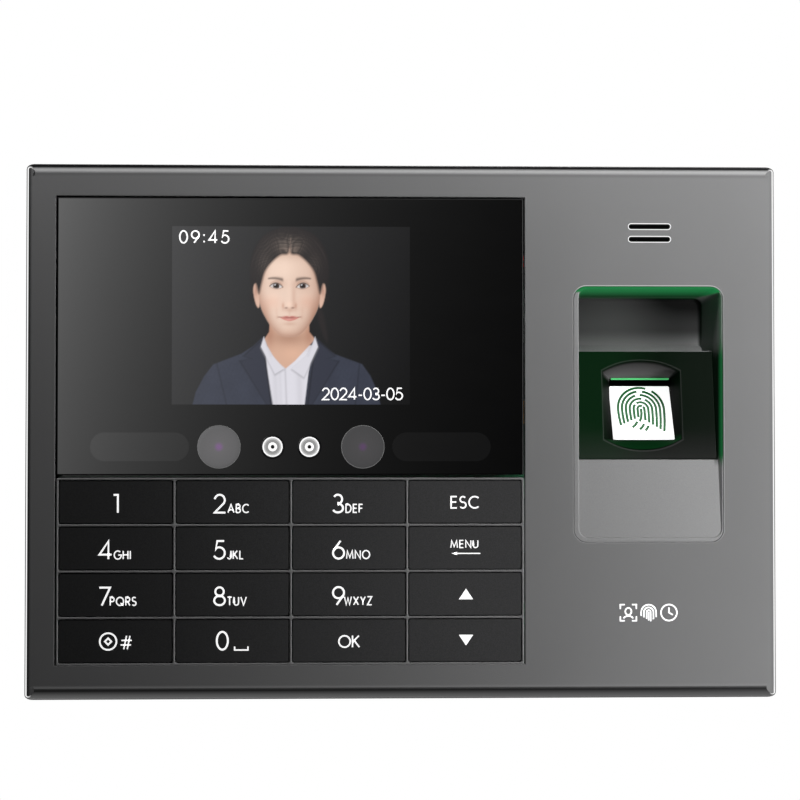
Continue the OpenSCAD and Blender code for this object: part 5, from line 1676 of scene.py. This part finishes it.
def area_light(name, place, target, size, power, size_y=None):
    data = bpy.data.lights.new(name, "AREA")
    data.energy = power
    data.size = size
    if size_y:
        data.shape = "RECTANGLE"
        data.size_y = size_y
    lamp = link_aimed(name, data, place, target)
    lamp.visible_camera = False
    return lamp


def world():
    """White for the camera; for light, almost dark in front of the object and pale behind it."""
    scene = bpy.context.scene
    scene.world = bpy.data.worlds.new("room")
    scene.world.use_nodes = True
    tree = scene.world.node_tree
    tree.nodes.clear()
    new = tree.nodes.new
    link = tree.links.new
    coord = new("ShaderNodeTexCoord")
    split = new("ShaderNodeSeparateXYZ")
    link(coord.outputs["Generated"], split.inputs[0])
    room = new("ShaderNodeMapRange")
    room.interpolation_type = "SMOOTHSTEP"
    link(split.outputs["Y"], room.inputs["Value"])
    for key, value in (("From Min", 0.0), ("From Max", 0.8), ("To Min", 0.004), ("To Max", 0.12)):
        room.inputs[key].default_value = value
    light = new("ShaderNodeBackground")
    link(room.outputs["Result"], light.inputs["Strength"])
    seen = new("ShaderNodeBackground")
    path = new("ShaderNodeLightPath")
    for background in (light, seen):
        background.inputs["Color"].default_value = (1, 1, 1, 1)
    mix = new("ShaderNodeMixShader")
    link(path.outputs["Is Camera Ray"], mix.inputs[0])
    link(light.outputs[0], mix.inputs[1])
    link(seen.outputs[0], mix.inputs[2])
    output = new("ShaderNodeOutputWorld")
    link(mix.outputs[0], output.inputs[0])


def reflection_panel():
    """A soft panel behind the camera, seen only in gloss; it fades to the right and downwards."""
    x0, x1, y, z0, z1 = -0.25, 0.14, -0.80, -0.05, 0.19
    bright_x, bright_z, brightness = -0.208, 0.153, 2.67
    fade_x, fade_z = -10.0, 3.0
    mesh = bpy.data.meshes.new("soft_panel")
    mesh.from_pydata([(x0, y, z0), (x1, y, z0), (x1, y, z1), (x0, y, z1)], [], [(0, 1, 2, 3)])
    panel = bpy.data.objects.new("soft_panel", mesh)
    bpy.context.scene.collection.objects.link(panel)
    m = Nodes("soft_panel")
    glow = m.tree.nodes.new("ShaderNodeEmission")
    across = m.math("MULTIPLY", m.math("SUBTRACT", m.axis("X"), bright_x), fade_x)
    height = m.math("MULTIPLY", m.math("SUBTRACT", m.axis("Z"), bright_z), fade_z)
    fade = m.math("EXPONENT", m.math("ADD", across, height))
    m.link(m.math("MULTIPLY", fade, brightness), glow.inputs["Strength"])
    output = next(n for n in m.tree.nodes if n.type == "OUTPUT_MATERIAL")
    m.link(glow.outputs[0], output.inputs["Surface"])
    mesh.materials.append(m.material)
    panel.visible_camera = False
    panel.visible_diffuse = False
    panel.visible_shadow = False
    panel.visible_transmission = False


def floor():
    """A pale round floor for the camera only: it neither lights the object nor shows in it."""
    radius, height = 1.1, -0.42
    bm = bmesh.new()
    bmesh.ops.create_circle(bm, cap_ends=True, segments=96, radius=radius)
    mesh = bpy.data.meshes.new("floor")
    bm.to_mesh(mesh)
    bm.free()
    obj = bpy.data.objects.new("floor", mesh)
    obj.location = (0, 0, height)
    bpy.context.scene.collection.objects.link(obj)
    m = Nodes("floor_pale")
    m.link(m.ramp(m.noise(3, 2), 0.3, 0.7, (0.8, 0.8, 0.8), (0.84, 0.84, 0.84)), "Base Color")
    m.set(Roughness=0.7, Emission_Color=(1, 1, 1, 1), Emission_Strength=0.55)
    mesh.materials.append(m.material)
    obj.visible_diffuse = False
    obj.visible_glossy = False


def light_past(lamp, names):
    """Lets the lamp's light through the named pieces, so that they cast no shadow in it."""
    blockers = bpy.data.collections.new(lamp.name + "_blockers")
    for name in names:
        blockers.objects.link(bpy.data.objects[name])
    for item in blockers.collection_objects:
        item.light_linking.link_state = "EXCLUDE"
    lamp.light_linking.blocker_collection = blockers


def lights():
    """A tall strip close on the right, a long one above, rims from left and below, and a fill behind."""
    face = (0.0, -0.036, 0.0)
    strip = area_light("strip_right", (0.145, -0.104, 0.0), face, 0.04, 0.42, size_y=0.5)
    light_past(strip, ("casing_front", "well_tub"))
    area_light("strip_top", (0.0, -0.082, 0.125), (0.0, -0.036, 0.06), 0.4, 0.13, size_y=0.03)
    area_light("rim_left", (-0.45, -0.02, 0.0), (-0.09, -0.03, 0.0), 0.1, 0.5, size_y=0.4)
    area_light("rim_low", (0.0, 0.2, -0.36), (0.0, -0.03, -0.065), 0.5, 0.35, size_y=0.1)
    area_light("back_fill", (0.2, 0.6, 0.3), (0, 0, 0), 0.6, 6.0)


# ---------------------------------------------------------------------------
# Build
# ---------------------------------------------------------------------------

# the dark colour of the front's edge: unpainted plastic at the outline and painted shade in bands along the
# rounded edge; thin makes the front's paint darker towards its left and right ends, a painted shade
BARE_AND_SHADED = (0.008, 0.008, 0.0085)
casing_paint = grained("casing_paint", (0.244, 0.244, 0.246), 0.42, grain=7000, specular=0.08,
                       dark=BARE_AND_SHADED, thin=((-0.09, 0.03, 0.22), (0.045, 0.09, 0.13)))
lattice_paint = grained("lattice_paint", (0.27, 0.27, 0.272), 0.4, metallic=0.05, grain=7000, specular=0.2)
rear_plastic = grained("rear_plastic", (0.03, 0.03, 0.032), 0.5, grain=2600, contrast=0.2, bump=0.5)
# thin makes the keys darker towards the left and a little towards the right: painted shade
key_plastic = grained("key_plastic", (0.075, 0.075, 0.0765), 0.45, grain=6000, contrast=0.16, bump=0.2,
                      specular=0.04, thin=((-0.085, 0.006, 0.52), (0.01, 0.03, 0.08)))
lens_gloss = polished("lens_gloss", (0.0006, 0.0006, 0.0007))
# the IR windows' faint glow is painted light
bar_gloss = polished("bar_gloss", (0.002, 0.002, 0.0022), 0.04, specular=0.62, glow=0.002)
eye_gloss = polished("eye_gloss", (0.002, 0.002, 0.003), 0.02)
# white print: on the screen its glow is the screen's light; on the key legends, icons and camera rings the
# glow is painted light
print_white = glowing("print_white", (0.95, 0.95, 0.95), 0.85)
band_grey = camera_band()
# the lamp windows' grey rims glow: painted light
rim_grey = glowing("rim_grey", (0.2, 0.2, 0.2), 0.35)
platen_lit = glowing("platen_lit", (1.0, 1.0, 1.0), 1.0, 900)
ridge_green = glowing("ridge_green", (0.002, 0.1, 0.02), 0.5)
lip_green = glowing("lip_green", (0.1, 0.62, 0.2), 0.6)

front_casing(casing_paint)
display_lens(lens_gloss)
screen(screen_material(), print_white)
# the lamp covers' grey glow is painted light, twice as strong on the left cover as on the right
for side, glow in ((-1, 0.95), (1, 0.48)):
    lamp_window(side, lamp_glass(f"lamp_cover_{side}", glow), rim_grey)
    camera_window(side, print_white, band_grey, eye_gloss)
    bar_window(side, bar_gloss)
key_lattice(lattice_paint)
for i in range(len(KEYS)):
    key_cap(i, key_plastic)
    key_legend(i, print_white)
finger_well(well_paint())
sensor_bezel(sensor_plastic())
sensor_glass(platen_lit, ridge_green)
light_edge(lip_green)
panel_icons(print_white)

dress_all(rear_plastic)
label_print()

world()
reflection_panel()
floor()
lights()
camera()
bpy.context.scene.view_settings.view_transform = "Standard"
